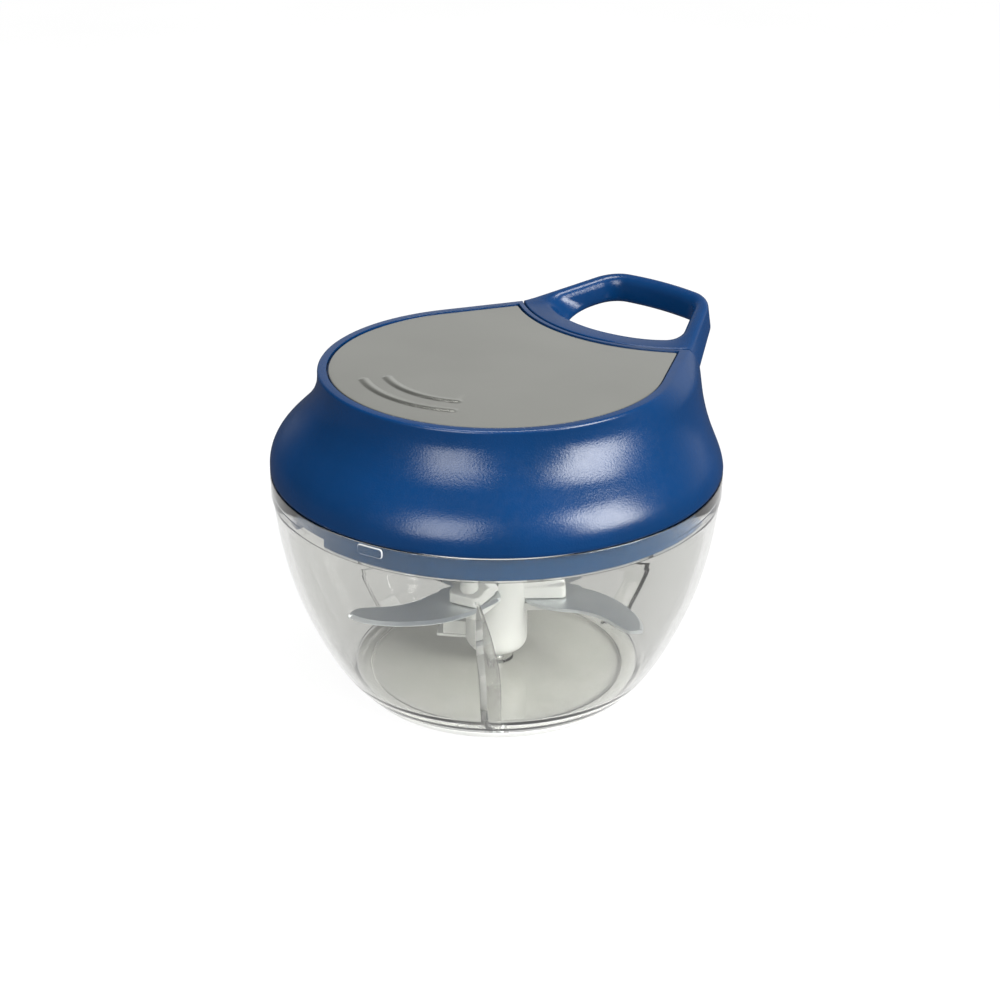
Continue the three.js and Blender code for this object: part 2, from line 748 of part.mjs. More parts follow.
// Reel and its surroundings
function cordReel() {
  let body = turned(
    [
      [0, cupTop - cupRoof],
      [toothOuterRadius, cupTop - cupRoof],
      [toothOuterRadius, cupBottom],
      [reelRadius, cupBottom],
      [reelRadius, cupTop],
      [arborRadius, cupTop],
      [arborRadius, flangeBottom],
      [reelRadius, flangeBottom],
      [reelRadius, grooveBottom],
      [drumRadius, grooveBottom],
      [drumRadius, grooveTop],
      [reelRadius, grooveTop],
      [reelRadius, reelTop],
      [0, reelTop],
    ],
    innerSegments
  );
  const step = 360 / toothCount;
  for (let i = 0; i < toothCount; i += 1) {
    const points = [
      polar(toothOuterRadius + overlap, step * i),
      polar(toothInnerRadius, step * i),
      polar(toothOuterRadius + overlap, step * (i + toothWidthShare)),
    ];
    body = body.add(slab(shapeOf(points), cupBottom, cupTop - cupRoof + overlap));
  }
  return body.subtract(cylinder(axleRadius + fit, axleBottom - fit, reelTop + overrun, 32));
}

function reelCase() {
  const body = ring(caseInner, caseInner + caseThickness, caseBottom, deckUnder - fit, innerSegments);
  const window = block(
    [caseInner / 2, caseInner + caseThickness + overrun],
    [-caseWindowHalfWidth - cordRadius, caseWindowHalfWidth / 2],
    [caseWindowBottom, deckUnder + overrun]
  );
  return body.subtract(window);
}

function recoilSpring() {
  const steps = springTurns * springStepsPerTurn;
  const side = (offset) => Array.from({ length: steps + 1 }, (_, i) => polar(
    THREE.MathUtils.lerp(springStart, springEnd, i / steps) + offset, (360 * springTurns * i) / steps));
  return slab(shapeOf([...side(0), ...side(springStrip).reverse()]), springBottom, springTop);
}

function driveHub() {
  const body = turned(
    [
      [0, journalEnd],
      [journalRadius, journalEnd],
      [journalRadius, hubBottom],
      [hubRadius, hubBottom],
      [hubRadius, hubTop],
      [0, hubTop],
    ],
    48
  );
  const side = [-driverHalf, driverHalf];
  let hub = body.add(block(side, side, [driverBottom, journalEnd + overlap]));
  const pin = cylinder(pawlPinRadius, hubTop - overlap, pawlPinTop, 16).translate([pawlPinReach, 0, 0]);
  around(pawlCount, (degrees) => spin(pin, degrees)).forEach((placed) => { hub = hub.add(placed); });
  return hub;
}

function pawl(degrees) {
  const shape = shapeOf(pawlNose.map(([x, y]) => [y, x]));
  const hole = new THREE.Path().absarc(0, 0, pawlPinRadius + fit / 2, 0, 2 * Math.PI, false);
  shape.holes.push(hole);
  return spin(slab(shape, pawlBottom, pawlTop, 8).translate([pawlPinReach, 0, 0]), degrees);
}

// Cord: wound on the drum, then straight to the eyelet, then along the handle's axis
const windRadius = drumRadius + cordGap + cordRadius;
const leaveDegrees = -THREE.MathUtils.radToDeg(Math.acos(windRadius / eyeletStart));
const windTop = grooveTop - cordRadius - cordGap;
const splitRadius = reelRadius - cordRadius; // inside the flanges the turning cord ends and the run starts

class Winding extends THREE.Curve {
  getPoint(t) {
    const back = cordTurns * t;
    const [x, y] = polar(windRadius, leaveDegrees - 360 * back);
    return new THREE.Vector3(x, y, windTop - cordPitch * back);
  }
}

const leavePoint = () => new THREE.Vector3(...polar(windRadius, leaveDegrees), windTop);
const eyeletPoint = () => new THREE.Vector3(eyeletStart - cordPitch, 0, cordHeight);
const leaveDirection = () => eyeletPoint().setZ(windTop).sub(leavePoint()).normalize();
const tangentTo = (radius) => Math.sqrt(radius ** 2 - windRadius ** 2);

function woundCord() {
  const end = leavePoint().addScaledVector(leaveDirection(), tangentTo(reelRadius));
  const path = new THREE.CurvePath();
  path.add(new THREE.LineCurve3(end, leavePoint()));
  path.add(new Winding());
  const body = tube(path, cordRadius, Math.round(cordTurns * cordStepsPerTurn));
  return body.intersect(cylinder(splitRadius, grooveBottom, grooveTop, innerSegments));
}

function cordRun() {
  const leave = leavePoint();
  const turn = eyeletPoint();
  const end = new THREE.Vector3(jointReach + handleGap / 2, 0, cordHeight);
  const level = leaveDirection();
  const start = leave.clone().addScaledVector(level, tangentTo(splitRadius) - 2 * cordRadius);
  const lift = leave.clone().addScaledVector(level, tangentTo(reelRadius + 2 * cordRadius));
  const bendIn = turn.clone().addScaledVector(turn.clone().sub(lift).normalize(), -cordPitch);
  const bendOut = turn.clone().add(new THREE.Vector3(cordPitch, 0, 0));
  const path = new THREE.CurvePath();
  path.add(new THREE.LineCurve3(start, lift));
  path.add(new THREE.LineCurve3(lift, bendIn));
  path.add(new THREE.QuadraticBezierCurve3(bendIn, turn, bendOut));
  path.add(new THREE.LineCurve3(bendOut, end));
  return tube(path, cordRadius, 24)
    .subtract(cylinder(splitRadius + fit, grooveBottom, grooveTop, innerSegments));
}

function windingGap() {
  const points = new Winding().getSpacedPoints(cordTurns * cordStepsPerTurn * 2);
  let least = Infinity;
  points.forEach((a, i) => {
    for (let j = i + cordStepsPerTurn; j < points.length; j += 1) {
      least = Math.min(least, a.distanceTo(points[j]));
    }
  });
  return least - 2 * cordRadius;
}

function cordEyelet() {
  const body = ring(eyeletBore, eyeletRadius, 0, eyeletLength, 20);
  return onCordLine(body, eyeletStart);
}

// Handle
const stubStart = jointReach + handleGap + fit;
const rise = (x) => {
  const past = Math.max(x - handleRiseStart, 0);
  const blended = Math.min(past, handleRiseBlend);
  return handleSlope * (blended ** 2 / (2 * handleRiseBlend) + past - blended);
};

// Where a straight side meets an arc round the centre of the lid's joint
function sideMeetsArc(distance, degrees, radius) {
  const [x, y] = polar(1, degrees);
  const offset = distance - jointCentre * x;
  const reach = Math.sqrt(radius ** 2 - offset ** 2);
  return [jointCentre + offset * x - reach * y, offset * y + reach * x];
}

// Points along an arc, each with its outward normal
function arcPoints([x, y], radius, from, to) {
  return Array.from({ length: cornerSteps + 1 }, (_, i) => {
    const normal = polar(1, THREE.MathUtils.lerp(from, to, i / cornerSteps));
    return { at: [x + radius * normal[0], y + radius * normal[1]], normal };
  });
}

const handleDepthShare = (height) => THREE.MathUtils.clamp((lidTop - height) / handleThickness, 0, 1);
const sideNormal = polar(1, handleSideDegrees);
const rootCorner = sideMeetsArc(lidTopRadius, sideDegrees, jointRadius);
const handleSide = rootCorner[0] * sideNormal[0] + rootCorner[1] * sideNormal[1];
const sideAt = (distance, x) => (distance - x * sideNormal[0]) / sideNormal[1];

function endCorner(end, distance, corner) {
  const x = end - corner;
  return arcPoints([x, sideAt(distance - corner, x)], corner, handleSideDegrees, endDegrees);
}

function handleHalf() {
  const start = jointReach - handleGap - overrun;
  const root = { at: [start, sideAt(handleSide, start)], normal: sideNormal };
  return [root, ...endCorner(handleEnd, handleSide, handleCorner)];
}

function openingHalf(height) {
  const distance = handleSide - sideBarWidth;
  const start = jointCentre - openingJointRadius;
  const fullRound = (distance - start * sideNormal[0]) / (1 + sideNormal[0]);
  const widest = openingRoundShare * fullRound;
  const corner = THREE.MathUtils.lerp(openingTopCorner, widest, handleDepthShare(height));
  const [x, y] = sideMeetsArc(distance - corner, handleSideDegrees, openingJointRadius - corner);
  const turn = THREE.MathUtils.radToDeg(Math.atan2(y, x - jointCentre));
  return [
    ...arcPoints([jointCentre, 0], openingJointRadius, 180, turn),
    ...arcPoints([x, y], corner, turn, handleSideDegrees),
    ...endCorner(openingEnd, distance, openingCorner),
  ];
}

// A loop through half an outline and its mirror image, drawn and grown at each level by its own amount
function handleLoft(levels, halfAt, end) {
  const rings = levels.map(([height, rootGrow, endGrow]) => {
    const growAt = (x) => {
      const share = THREE.MathUtils.clamp((x - handleRiseStart) / (end - handleRiseStart), 0, 1);
      return THREE.MathUtils.lerp(rootGrow, endGrow, share);
    };
    const points = halfAt(height).map(({ at: [x, y], normal: [across, aside] }) =>
      [x + across * growAt(x), y + aside * growAt(x)]);
    const mirrored = points.filter(([, y]) => y > weld).reverse().map(([x, y]) => [x, -y]);
    const crown = [end + endArch + growAt(end), 0];
    return [...points, crown, ...mirrored].map(([x, y]) => [x, y, height]);
  });
  return loft(rings);
}

function bent(body) {
  return body.warp((vertex) => {
    vertex[2] += rise(vertex[0]) * THREE.MathUtils.lerp(1, handleUnderShare, handleDepthShare(vertex[2]));
  });
}

function pullHandle() {
  const bottom = lidTop - handleThickness;
  const round = handleRounding;
  const outsideLevel = (height, shrink) => {
    const depthShare = handleDepthShare(height);
    return [height, handleRootFlare * depthShare - shrink, handleEndFlare * depthShare - shrink];
  };
  const outsideLevels = [
    outsideLevel(bottom, round),
    outsideLevel(bottom + round / 3, round / 3),
    outsideLevel(bottom + round, 0),
    outsideLevel(lidTop - round, 0),
    outsideLevel(lidTop - round / 3, round / 3),
    outsideLevel(lidTop, round),
  ];
  const soft = openingRounding;
  const openingLevels = [
    [bottom - overrun, soft, soft],
    [bottom, soft, soft],
    [bottom + soft / 3, soft / 3, soft / 3],
    [bottom + soft, 0, 0],
    [lidTop - soft, 0, 0],
    [lidTop - soft / 3, soft / 3, soft / 3],
    [lidTop, soft, soft],
    [lidTop + overrun, soft, soft],
  ];
  const outside = handleLoft(outsideLevels, handleHalf, handleEnd);
  const opening = handleLoft(openingLevels, openingHalf, openingEnd);
  const nearFace = cylinder(jointRadius - handleGap, bottom - overrun, lidTop + overrun, 2 * lidSegments)
    .translate([jointCentre, 0, 0]);
  const loop = outside.intersect(nearFace).subtract(opening);
  const cordHole = onCordLine(cylinder(eyeletBore, 0, handleEnd, 16), eyeletStart);
  const reach = jointCentre - openingJointRadius + overrun - knotPocketStart;
  const pocket = onCordLine(cylinder(knotPocketRadius, 0, reach, 20), knotPocketStart);
  const shortHole = cordHole.intersect(
    block([eyeletStart, knotCentre], [-handleThickness, handleThickness], [bottom, lidTop]));
  return bent(loop.subtract(shortHole).subtract(pocket));
}

function cordStub() {
  const end = knotCentre - knotRadius - fit / 2;
  return onCordLine(cylinder(cordRadius, 0, end - stubStart, 12), stubStart);
}

function cordKnot() {
  const geometry = new THREE.SphereGeometry(knotRadius, 12, 8);
  return solid(geometry).translate([knotCentre, 0, cordHeight]);
}

// Assembly
const chopper = new THREE.Group();
addMesh(chopper, "bowl", bowl(), clearPlastic());
addMesh(chopper, "base_pad", basePad(), footRubber());
addMesh(chopper, "blade_pin", bladePin(), bladeSteel());
addMesh(chopper, "blade_shaft", bladeShaft(), whitePlastic());
bladeHeights.forEach((height, i) => addMesh(chopper, `blade_${i + 1}`, blade(i), bladeSteel()));
addMesh(chopper, "lid_shell", lidShell(), bluePlastic());
addMesh(chopper, "top_plate", topPlate(), satinSteel());
addMesh(chopper, "lid_base", lidBase(), bluePlastic());
around(bossCount, lidScrew).forEach((screw, i) => {
  addMesh(chopper, `lid_screw_${i + 1}`, screw, bladeSteel());
});
addMesh(chopper, "reel_case", reelCase(), darkPlastic());
addMesh(chopper, "recoil_spring", recoilSpring(), bladeSteel());
addMesh(chopper, "cord_eyelet", cordEyelet(), darkPlastic());
addMesh(chopper, "cord_run", cordRun(), cordWeave());
addMesh(chopper, "cord_reel", cordReel(), whitePlastic());
addMesh(chopper, "wound_cord", woundCord(), cordWeave());
addMesh(chopper, "drive_hub", driveHub(), darkPlastic());
around(pawlCount, pawl).forEach((part, i) => addMesh(chopper, `clutch_pawl_${i + 1}`, part, bladeSteel()));
addMesh(chopper, "pull_handle", pullHandle(), bluePlastic());
addMesh(chopper, "cord_stub", cordStub(), cordWeave());
addMesh(chopper, "cord_knot", cordKnot(), cordWeave());
console.log(`least gap of the wound cord to itself: ${windingGap().toFixed(2)} mm`);

export default chopper;
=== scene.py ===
# Pull-cord vegetable chopper: fine surfaces, materials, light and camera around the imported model.
# The scene is in metres. The shapes are written in millimetres, in the model's own frame, and scaled once.
import math

import bmesh
import bpy
import numpy as np
from mathutils import Matrix, Vector


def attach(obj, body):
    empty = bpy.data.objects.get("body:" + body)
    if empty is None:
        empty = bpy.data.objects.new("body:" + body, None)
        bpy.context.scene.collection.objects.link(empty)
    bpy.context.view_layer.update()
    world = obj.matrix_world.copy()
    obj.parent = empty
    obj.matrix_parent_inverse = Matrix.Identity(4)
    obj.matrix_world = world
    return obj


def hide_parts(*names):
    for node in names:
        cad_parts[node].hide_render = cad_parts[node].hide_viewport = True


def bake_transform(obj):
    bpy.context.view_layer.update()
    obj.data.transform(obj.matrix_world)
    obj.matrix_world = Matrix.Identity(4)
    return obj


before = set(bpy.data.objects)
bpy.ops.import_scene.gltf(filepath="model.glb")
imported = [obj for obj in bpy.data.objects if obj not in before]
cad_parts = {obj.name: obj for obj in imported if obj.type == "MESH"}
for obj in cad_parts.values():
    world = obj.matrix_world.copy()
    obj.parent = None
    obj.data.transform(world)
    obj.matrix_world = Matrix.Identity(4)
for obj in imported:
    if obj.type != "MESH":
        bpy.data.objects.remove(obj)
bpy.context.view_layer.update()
MM = 0.001

# Sizes in millimetres and angles in degrees, down to the camera
FIT = 0.3
OVERRUN = 2
SINK = 0.4
SKIN = 0.01
TINY = 1e-6

# Roundings of edges
EDGE_CRISP = 0.2
EDGE_FINE = 0.25
EDGE_SMALL = 0.3
EDGE_MILD = 0.4
EDGE_SOFT = 0.5
EDGE_BROAD = 0.6
EDGE_TURNS = (0, 18, 36, 54, 72, 90)
CORNER_REACH_SHARE = 0.49

# Faces that meet at a smaller angle than this are shaded as one
SMOOTH = 32
BOWL_SMOOTH = 28
BLADE_SMOOTH = 18
PLATE_SMOOTH = 50

# Bowl, foot and pin
WALL_HEIGHTS = [3.4, 7, 12, 18, 26, 36, 48, 60, 63.2]
WALL_RADII = [45, 48, 51.25, 54.41, 58, 61.63, 64.46, 66.13, 66.35]
WALL = 2.5
WALL_LEVELS = 44
INNER_WALL_SPAN = (8.7, 61.3)
WALL_FOOT = (43.2, 6.1, 2.5)
RIM_RADIUS = 66.85
RIM_INNER = 64.1
RIM_BOTTOM = 63.5
RIM_TOP = 69.7
RIM_LEDGE = 61.9
FLOOR_TOP = 4.8
FLOOR_UNDER = 1.9
FLOOR_RADIUS = 37.9
FLOOR_ROUNDING = 1.2
FOOT_RADIUS = 41.7
FOOT_RING_TOP = 3.1
FOOT_RING_RADIUS = 44.6
FOOT_RING_INNER = 39.3
FOOT_THICKNESS = 1.6
FIN_HEIGHTS = [3.9, 14, 28, 40, 50, 56.5]
FIN_DEPTHS = [5.2, 5, 4.5, 4, 1.8, -0.6]
FIN_LEANS = [4.2, 4.9, 5.1, 3.6, 1.8, 0.5]
FIN_LEVELS = 36
FIN_THICKNESS = 2.2
FIN_TIP_SHARE = 0.55
FIN_TIP_TURNS = range(-80, 81, 20)
FIN_ROOT = 1.2
FIN_DEGREES = [-142.2, -22.2, 97.8]
# Fin faces within this turn and above this height get a lighter copy of the plastic: painted light
FIN_LIGHTENED_DEGREES = 9
FIN_LIGHTENED_BOTTOM = 6
PAD_DEGREES = (188.6, 195.6)
PAD_HEIGHTS = (66.3, 69.3)
PAD_RISE = 0.45
PAD_CORNER_SHARE = 0.8
PAD_TURNS = (0, 30, 60, 90)
PAD_FACE_COSINE = 0.9
NOTCH_DEGREES = (162.5, 175.5)
NOTCH_TOP = 65
PIN_RADIUS = 2
PIN_TOP = 42
PIN_BOTTOM = 3.4
PIN_ROUNDING = 1.9
BOSS_RADIUS = 5.2
BOSS_TOP = 5.8

# Blade unit
SHAFT_RADIUS = 9.5
SHAFT_BOTTOM = 8.6
SHAFT_TOP = 62
SHAFT_ROUNDING = 4.8
COLLAR_RADIUS = 20.4
COLLAR_HEIGHTS = (53.4, 55.6)
ARM_REACH = 21
ARM_HALF = 5
ARM_BELOW = 3.5
ARM_ABOVE = 4
ARM_DEGREES = 31
ARM_CORNER = 2
POST_RADIUS = 2.8
POST_REACH = 16.8
POST_SINK = 0.6
LEDGES = [(16.4, 2.6, 12.4, 17.2), (18.3, 3.1, 12, 12.9)]  # reach, half width, bottom and top
LEDGE_DEGREES = 125
BLADE_HEIGHTS = [31, 26.3, 36]
BLADE_DEGREES = [163, 284, 43.5]
BLADE_THICKNESS = 1.1
BLADE_GRIND = 0.9
BLADE_EASE = 0.08
BLADE_LIP = 0.06
BLADE_EDGE = [(49.3, -0.8), (47, 4.2), (42.6, 8.8), (37, 12.4), (31, 15), (25, 16.3), (18.5, 16),
              (12, 14.2), (5.4, 11.8)]
BLADE_BACK = [(4.6, 8.2), (9, 1), (15, -1.2), (21, -0.8), (27, 1), (33, 1.3), (38, 0), (42, -1.8), (46, -3)]
DRIVER_HALF = 4.1
SOCKET_GAP = 0.35
SOCKET_BOTTOM = 54

# Lid, plate and lid floor
LID_BOTTOM = 70
LID_TOP = 100.5
LID_LOWER_EDGE = [(69.78, 66.1), (69.9, 66.4), (70.3, 66.65)]  # height and radius
LID_SIDE_START = 1
LID_LEVELS = 64
LID_BULGE = 66.8
LID_TOP_RADIUS = 52
LID_ROUNDING = 0.7
LID_TURNS = (22.5, 45, 67.5, 90)
SIDE_DEGREES = 62
JOINT_CENTRE = 88
JOINT_RADIUS = 52.2
LID_WALL = 2.6
LID_WALL_DROP = 4
DECK_UNDER = 97.2
RECESS_FLOOR = 98.9
PLATE_INSET = 3.1
RECESS_GAP = 0.45
PLATE_JOINT_INSET = 2
PLATE_BOTTOM = 99.2
PLATE_TOP = 100.2
PLATE_EASE = 0.12
PLATE_ROUNDING = 0.45
PLATE_TURNS = (0, 22, 45, 67, 90)
PLATE_RINGS = [(0.05, 0.6, 6), (0.6, 0.86, 56), (0.86, 0.985, 5)]  # from and to a share of the radius, count
RIB_CENTRE = (-4, 2.3)
RIB_RADII = [28.2, 35.1]
RIB_WIDTH = 3.4
RIB_RISE = 0.4
RIB_POWER = 1.5
RIB_DEGREES = (148, 213)
HEIGHT_SHARES = [0, 0.04, 0.12, 0.2, 0.28, 0.36, 0.44, 0.52, 0.6, 0.68, 0.76, 0.84, 0.92, 1]
ROUND_SHARES = [1, 1, 0.99, 0.945, 0.86, 0.73, 0.565, 0.395, 0.26, 0.15, 0.075, 0.025, 0.005, 0]
CORNER_SHARES = [1, 1, 0.95, 0.87, 0.78, 0.7, 0.63, 0.57, 0.52, 0.48, 0.44, 0.38, 0.24, 0]
CORNER_DEGREES = 35
CORNER_FADE = 75
SKIRT_RADIUS = 63.7
SKIRT_INNER = 61.5
SKIRT_BOTTOM = 62.4
SKIRT_TOP = 72.4
LID_FLOOR_UNDER = 66.6
LID_FLOOR_TOP = 68.8
BORE_RADIUS = 7.9
COLLAR_OUTER = 11.2
JOURNAL_BOTTOM = 63.4
JOURNAL_TOP = 70.4
BOSS_COUNT = 4
SCREW_BOSS_RADIUS = 4
SCREW_BOSS_REACH = 49.5
BOSS_LIMIT_ENDS = 1
BOSS_LIMIT_INSET = 0.5
SCREW_HOLE = 2
SCREW_HOLE_DEPTH = 14
SCREW_CLEARANCE = 1.9
AXLE_RADIUS = 4
AXLE_BOTTOM = 82.4

# Cord, reel and eyelet
REEL_TOP = 96.7
REEL_FLANGE = 0.9
REEL_RADIUS = 19.3
DRUM_RADIUS = 13.6
CORD_RADIUS = 0.7
CORD_PITCH = 1.9
CORD_TURNS = 3.6
CORD_GAP = 0.35
CORD_HEIGHT = 96.5
CORD_STEPS = 6
COIL_STEPS = 60
BLEND_STEPS = 40
RUN_START_GAP = 0.6
RUN_BEND_GAP = 0.3
BLEND_GAPS = (0.05, 0.1)
EYELET_RADIUS = 1.6
EYELET_BORE = 1.1
EYELET_START = 31.2
EYELET_INSET = 0.2
EYELET_EDGE = 0.15
KNOT_RADIUS = 1.6
KNOT_CENTRE = 39.9
KNOT_REACH_SHARE = 0.6
KNOT_POINTS = 90
KNOT_CLOSED_SHARE = 0.985
KNOT_COIL = 0.52
KNOT_WAVE = 0.42
KNOT_CORD = 0.62
POCKET_RADIUS = 2
POCKET_START = 37.9

# Handle
HANDLE_GAP = 0.5
HANDLE_END = 77
HANDLE_SIDE_DEGREES = 64
HANDLE_THICKNESS = 7.3
HANDLE_ROOT_FLARE = 3.8
HANDLE_END_FLARE = 0.8
HANDLE_ROUNDING = 1.2
HANDLE_SLOPE = 0.23
HANDLE_RISE_START = 44
HANDLE_RISE_BLEND = 8
HANDLE_UNDER_SHARE = 0.79
HANDLE_CORNER = 12
OPENING_RADIUS = 44
OPENING_END = 73.1
OPENING_INSET = 4.5
OPENING_CORNER = 7.5
OPENING_TOP_CORNER = 4
OPENING_ROUND_SHARE = 0.85
OPENING_ROUNDING = 2.2
OPENING_DRAFT = 1.5
END_DEGREES = 4
END_ARCH = 0.7
ARCH_STEPS = 8

# Camera, floor and light, in metres, degrees and watts
TARGET = Vector((0, 0, 0.0572))
CAMERA_DISTANCE = 0.6
CAMERA_AZIMUTH = -137
CAMERA_ELEVATION = 24.24
SENSOR_WIDTH = 36
FOCAL_LENGTH = 72.216
FRAME_SHIFT = 0.00344
FLOOR_HALF = 6000
SOFTBOX_DISTANCE = 1.3
SOFTBOXES = {  # turn from the camera to the right, elevation, width, height and power
    "softbox_left": (-27, 28, 0.62, 0.95, 15),
    "softbox_right": (58, 28, 0.66, 0.95, 36),
    "softbox_over": (172, 80, 0.7, 0.4, 13),
}
FAR_WALL = (CAMERA_AZIMUTH + 162, -8)
FAR_WALL_FADE = (0.4, 0.98)
FAR_WALL_STRENGTH = (0.04, 0.6)
FAR_WALL_COLOR = (0.99, 0.99, 1, 1)
TENT_COLOR = (0.8, 0.8, 0.79, 1)
DIM_FLOOR_COLOR = (0.09, 0.09, 0.1, 1)

# What the noise factors mostly lie between
NOISE_SPAN = (0.3, 0.7)


def direction(azimuth, elevation):
    a, e = math.radians(azimuth), math.radians(elevation)
    return Vector((math.cos(a) * math.cos(e), math.sin(a) * math.cos(e), math.sin(e)))


def stand(obj, distance, azimuth, elevation):
    """Puts a camera or a light in the scene, aimed at the object."""
    bpy.context.scene.collection.objects.link(obj)
    obj.location = TARGET + distance * direction(azimuth, elevation)
    obj.rotation_euler = (TARGET - obj.location).to_track_quat("-Z", "Y").to_euler()


def make_camera():
    data = bpy.data.cameras.new("camera")
    data.sensor_width = SENSOR_WIDTH
    data.lens = FOCAL_LENGTH
    data.shift_x = FRAME_SHIFT
    camera = bpy.data.objects.new("camera", data)
    stand(camera, CAMERA_DISTANCE, CAMERA_AZIMUTH, CAMERA_ELEVATION)
    bpy.context.scene.camera = camera


def make_lights():
    for name, (turn, elevation, width, height, power) in SOFTBOXES.items():
        data = bpy.data.lights.new(name, "AREA")
        data.shape = "RECTANGLE"
        data.size = width
        data.size_y = height
        data.energy = power
        light = bpy.data.objects.new(name, data)
        stand(light, SOFTBOX_DISTANCE, CAMERA_AZIMUTH + turn, elevation)
    bpy.context.scene.world = studio_walls()
    bpy.context.scene.view_settings.view_transform = "Standard"


def gloss_share(tree):
    """1 for a ray that left a satin surface by reflection, and 0 for mirror, glass and matt ones."""
    path = tree.nodes.new("ShaderNodeLightPath")
    value = path.outputs["Is Reflection Ray"]
    for other in ("Is Diffuse Ray", "Is Singular Ray"):
        less = tree.nodes.new("ShaderNodeMath")
        less.operation = "SUBTRACT"
        less.use_clamp = True
        tree.links.new(value, less.inputs[0])
        tree.links.new(path.outputs[other], less.inputs[1])
        value = less.outputs["Value"]
    return value


def mix_shaders(tree, first, second, mix):
    """Leads two shaders into a Mix Shader node."""
    tree.links.new(first, mix.inputs[1])
    tree.links.new(second, mix.inputs[2])
    return mix.outputs["Shader"]


def mix_by_ray(tree, first, second, share, target):
    """Mixes two shaders by a socket that reads the kind of ray, and leads the result to a socket."""
    mix = tree.nodes.new("ShaderNodeMixShader")
    tree.links.new(share, mix.inputs["Fac"])
    tree.links.new(mix_shaders(tree, first, second, mix), target)


def set_range(node, taken, given):
    """Sets what a Map Range node takes in and what it gives out, each as (low, high)."""
    for socket, value in zip(("From Min", "From Max", "To Min", "To Max"), (*taken, *given)):
        node.inputs[socket].default_value = value


def studio_walls():
    """A white tent; in gloss it shows as a dim room whose far wall, behind the object, is lit."""
    world = bpy.data.worlds.new("studio_walls")
    world.use_nodes = True
    tree = world.node_tree
    walls = tree.nodes["Background"]
    place = tree.nodes.new("ShaderNodeTexCoord")
    towards = tree.nodes.new("ShaderNodeVectorMath")
    towards.operation = "DOT_PRODUCT"
    towards.inputs[1].default_value = direction(*FAR_WALL)
    fade = tree.nodes.new("ShaderNodeMapRange")
    fade.interpolation_type = "SMOOTHSTEP"
    set_range(fade, FAR_WALL_FADE, FAR_WALL_STRENGTH)
    tree.links.new(place.outputs["Generated"], towards.inputs[0])
    tree.links.new(towards.outputs["Value"], fade.inputs["Value"])
    tree.links.new(fade.outputs["Result"], walls.inputs["Strength"])
    walls.inputs["Color"].default_value = FAR_WALL_COLOR
    tent = tree.nodes.new("ShaderNodeBackground")
    tent.inputs["Color"].default_value = TENT_COLOR
    mix_by_ray(tree, tent.outputs["Background"], walls.outputs["Background"], gloss_share(tree),
               tree.nodes["World Output"].inputs["Surface"])
    return world


# Mesh tools
def new_object(name, verts, faces):
    mesh = bpy.data.meshes.new(name)
    mesh.from_pydata([tuple(c * MM for c in v) for v in verts], [], faces)
    mesh.validate()
    obj = bpy.data.objects.new(name, mesh)
    bpy.context.scene.collection.objects.link(obj)
    tidy_normals(obj)
    return obj


def tidy_normals(obj):
    bm = bmesh.new()
    bm.from_mesh(obj.data)
    bmesh.ops.remove_doubles(bm, verts=bm.verts, dist=1e-7)
    bmesh.ops.recalc_face_normals(bm, faces=bm.faces)
    bm.to_mesh(obj.data)
    bm.free()


def combine(obj, tool, operation):
    """Joins the tool to obj, or cuts obj with it, and removes the tool."""
    modifier = obj.modifiers.new("combine", "BOOLEAN")
    modifier.operation = operation
    modifier.solver = "EXACT"
    modifier.object = tool
    graph = bpy.context.evaluated_depsgraph_get()
    mesh = bpy.data.meshes.new_from_object(obj.evaluated_get(graph))
    obj.modifiers.clear()
    old = obj.data
    obj.data = mesh
    bpy.data.meshes.remove(old)
    bpy.data.objects.remove(tool)


def add(obj, *tools):
    for tool in tools:
        combine(obj, tool, "UNION")
    return obj


def cut(obj, *tools):
    for tool in tools:
        combine(obj, tool, "DIFFERENCE")
    return obj


def keep(obj, *tools):
    for tool in tools:
        combine(obj, tool, "INTERSECT")
    return obj


def polish(obj, degrees):
    """Clears slivers, splits large faces and sets smooth shading."""
    bm = bmesh.new()
    bm.from_mesh(obj.data)
    bmesh.ops.dissolve_degenerate(bm, edges=bm.edges, dist=1e-6)
    bmesh.ops.triangulate(bm, faces=[f for f in bm.faces if len(f.verts) > 4])
    bm.to_mesh(obj.data)
    bm.free()
    for polygon in obj.data.polygons:
        polygon.use_smooth = True
    obj.data.set_sharp_from_angle(angle=math.radians(degrees))


def place(obj, material, body, slot, node, degrees=SMOOTH):
    """Gives a piece its shading, material and body, and hides the node that it stands for."""
    polish(obj, degrees)
    obj.data.materials.clear()
    obj.data.materials.append(material)
    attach(obj, body)
    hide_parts(node)


def polar(radius, degrees):
    return radius * math.cos(math.radians(degrees)), radius * math.sin(math.radians(degrees))


def quarter_round(radius, turns):
    """The rise and the shrink of a rounded edge at each turn."""
    return [(radius * math.sin(math.radians(d)), radius * (1 - math.cos(math.radians(d)))) for d in turns]


def fillet(points, steps=5):
    """Rounds the corners of a closed outline: each point is (x, y) or (x, y, radius)."""
    out = []
    count = len(points)
    for i, point in enumerate(points):
        here = Vector(point[:2])
        radius = point[2] if len(point) > 2 else 0
        before = Vector(points[i - 1][:2]) - here
        after = Vector(points[(i + 1) % count][:2]) - here
        if radius <= 0 or before.length < TINY or after.length < TINY:
            out.append((here.x, here.y))
            continue
        half = before.angle(after) / 2
        longest = CORNER_REACH_SHARE * min(before.length, after.length)
        reach = min(radius / math.tan(half), longest)
        a = here + before.normalized() * reach
        b = here + after.normalized() * reach
        for step in range(steps + 1):
            t = step / steps
            p = (1 - t) ** 2 * a + 2 * t * (1 - t) * here + t ** 2 * b
            out.append((p.x, p.y))
    return out


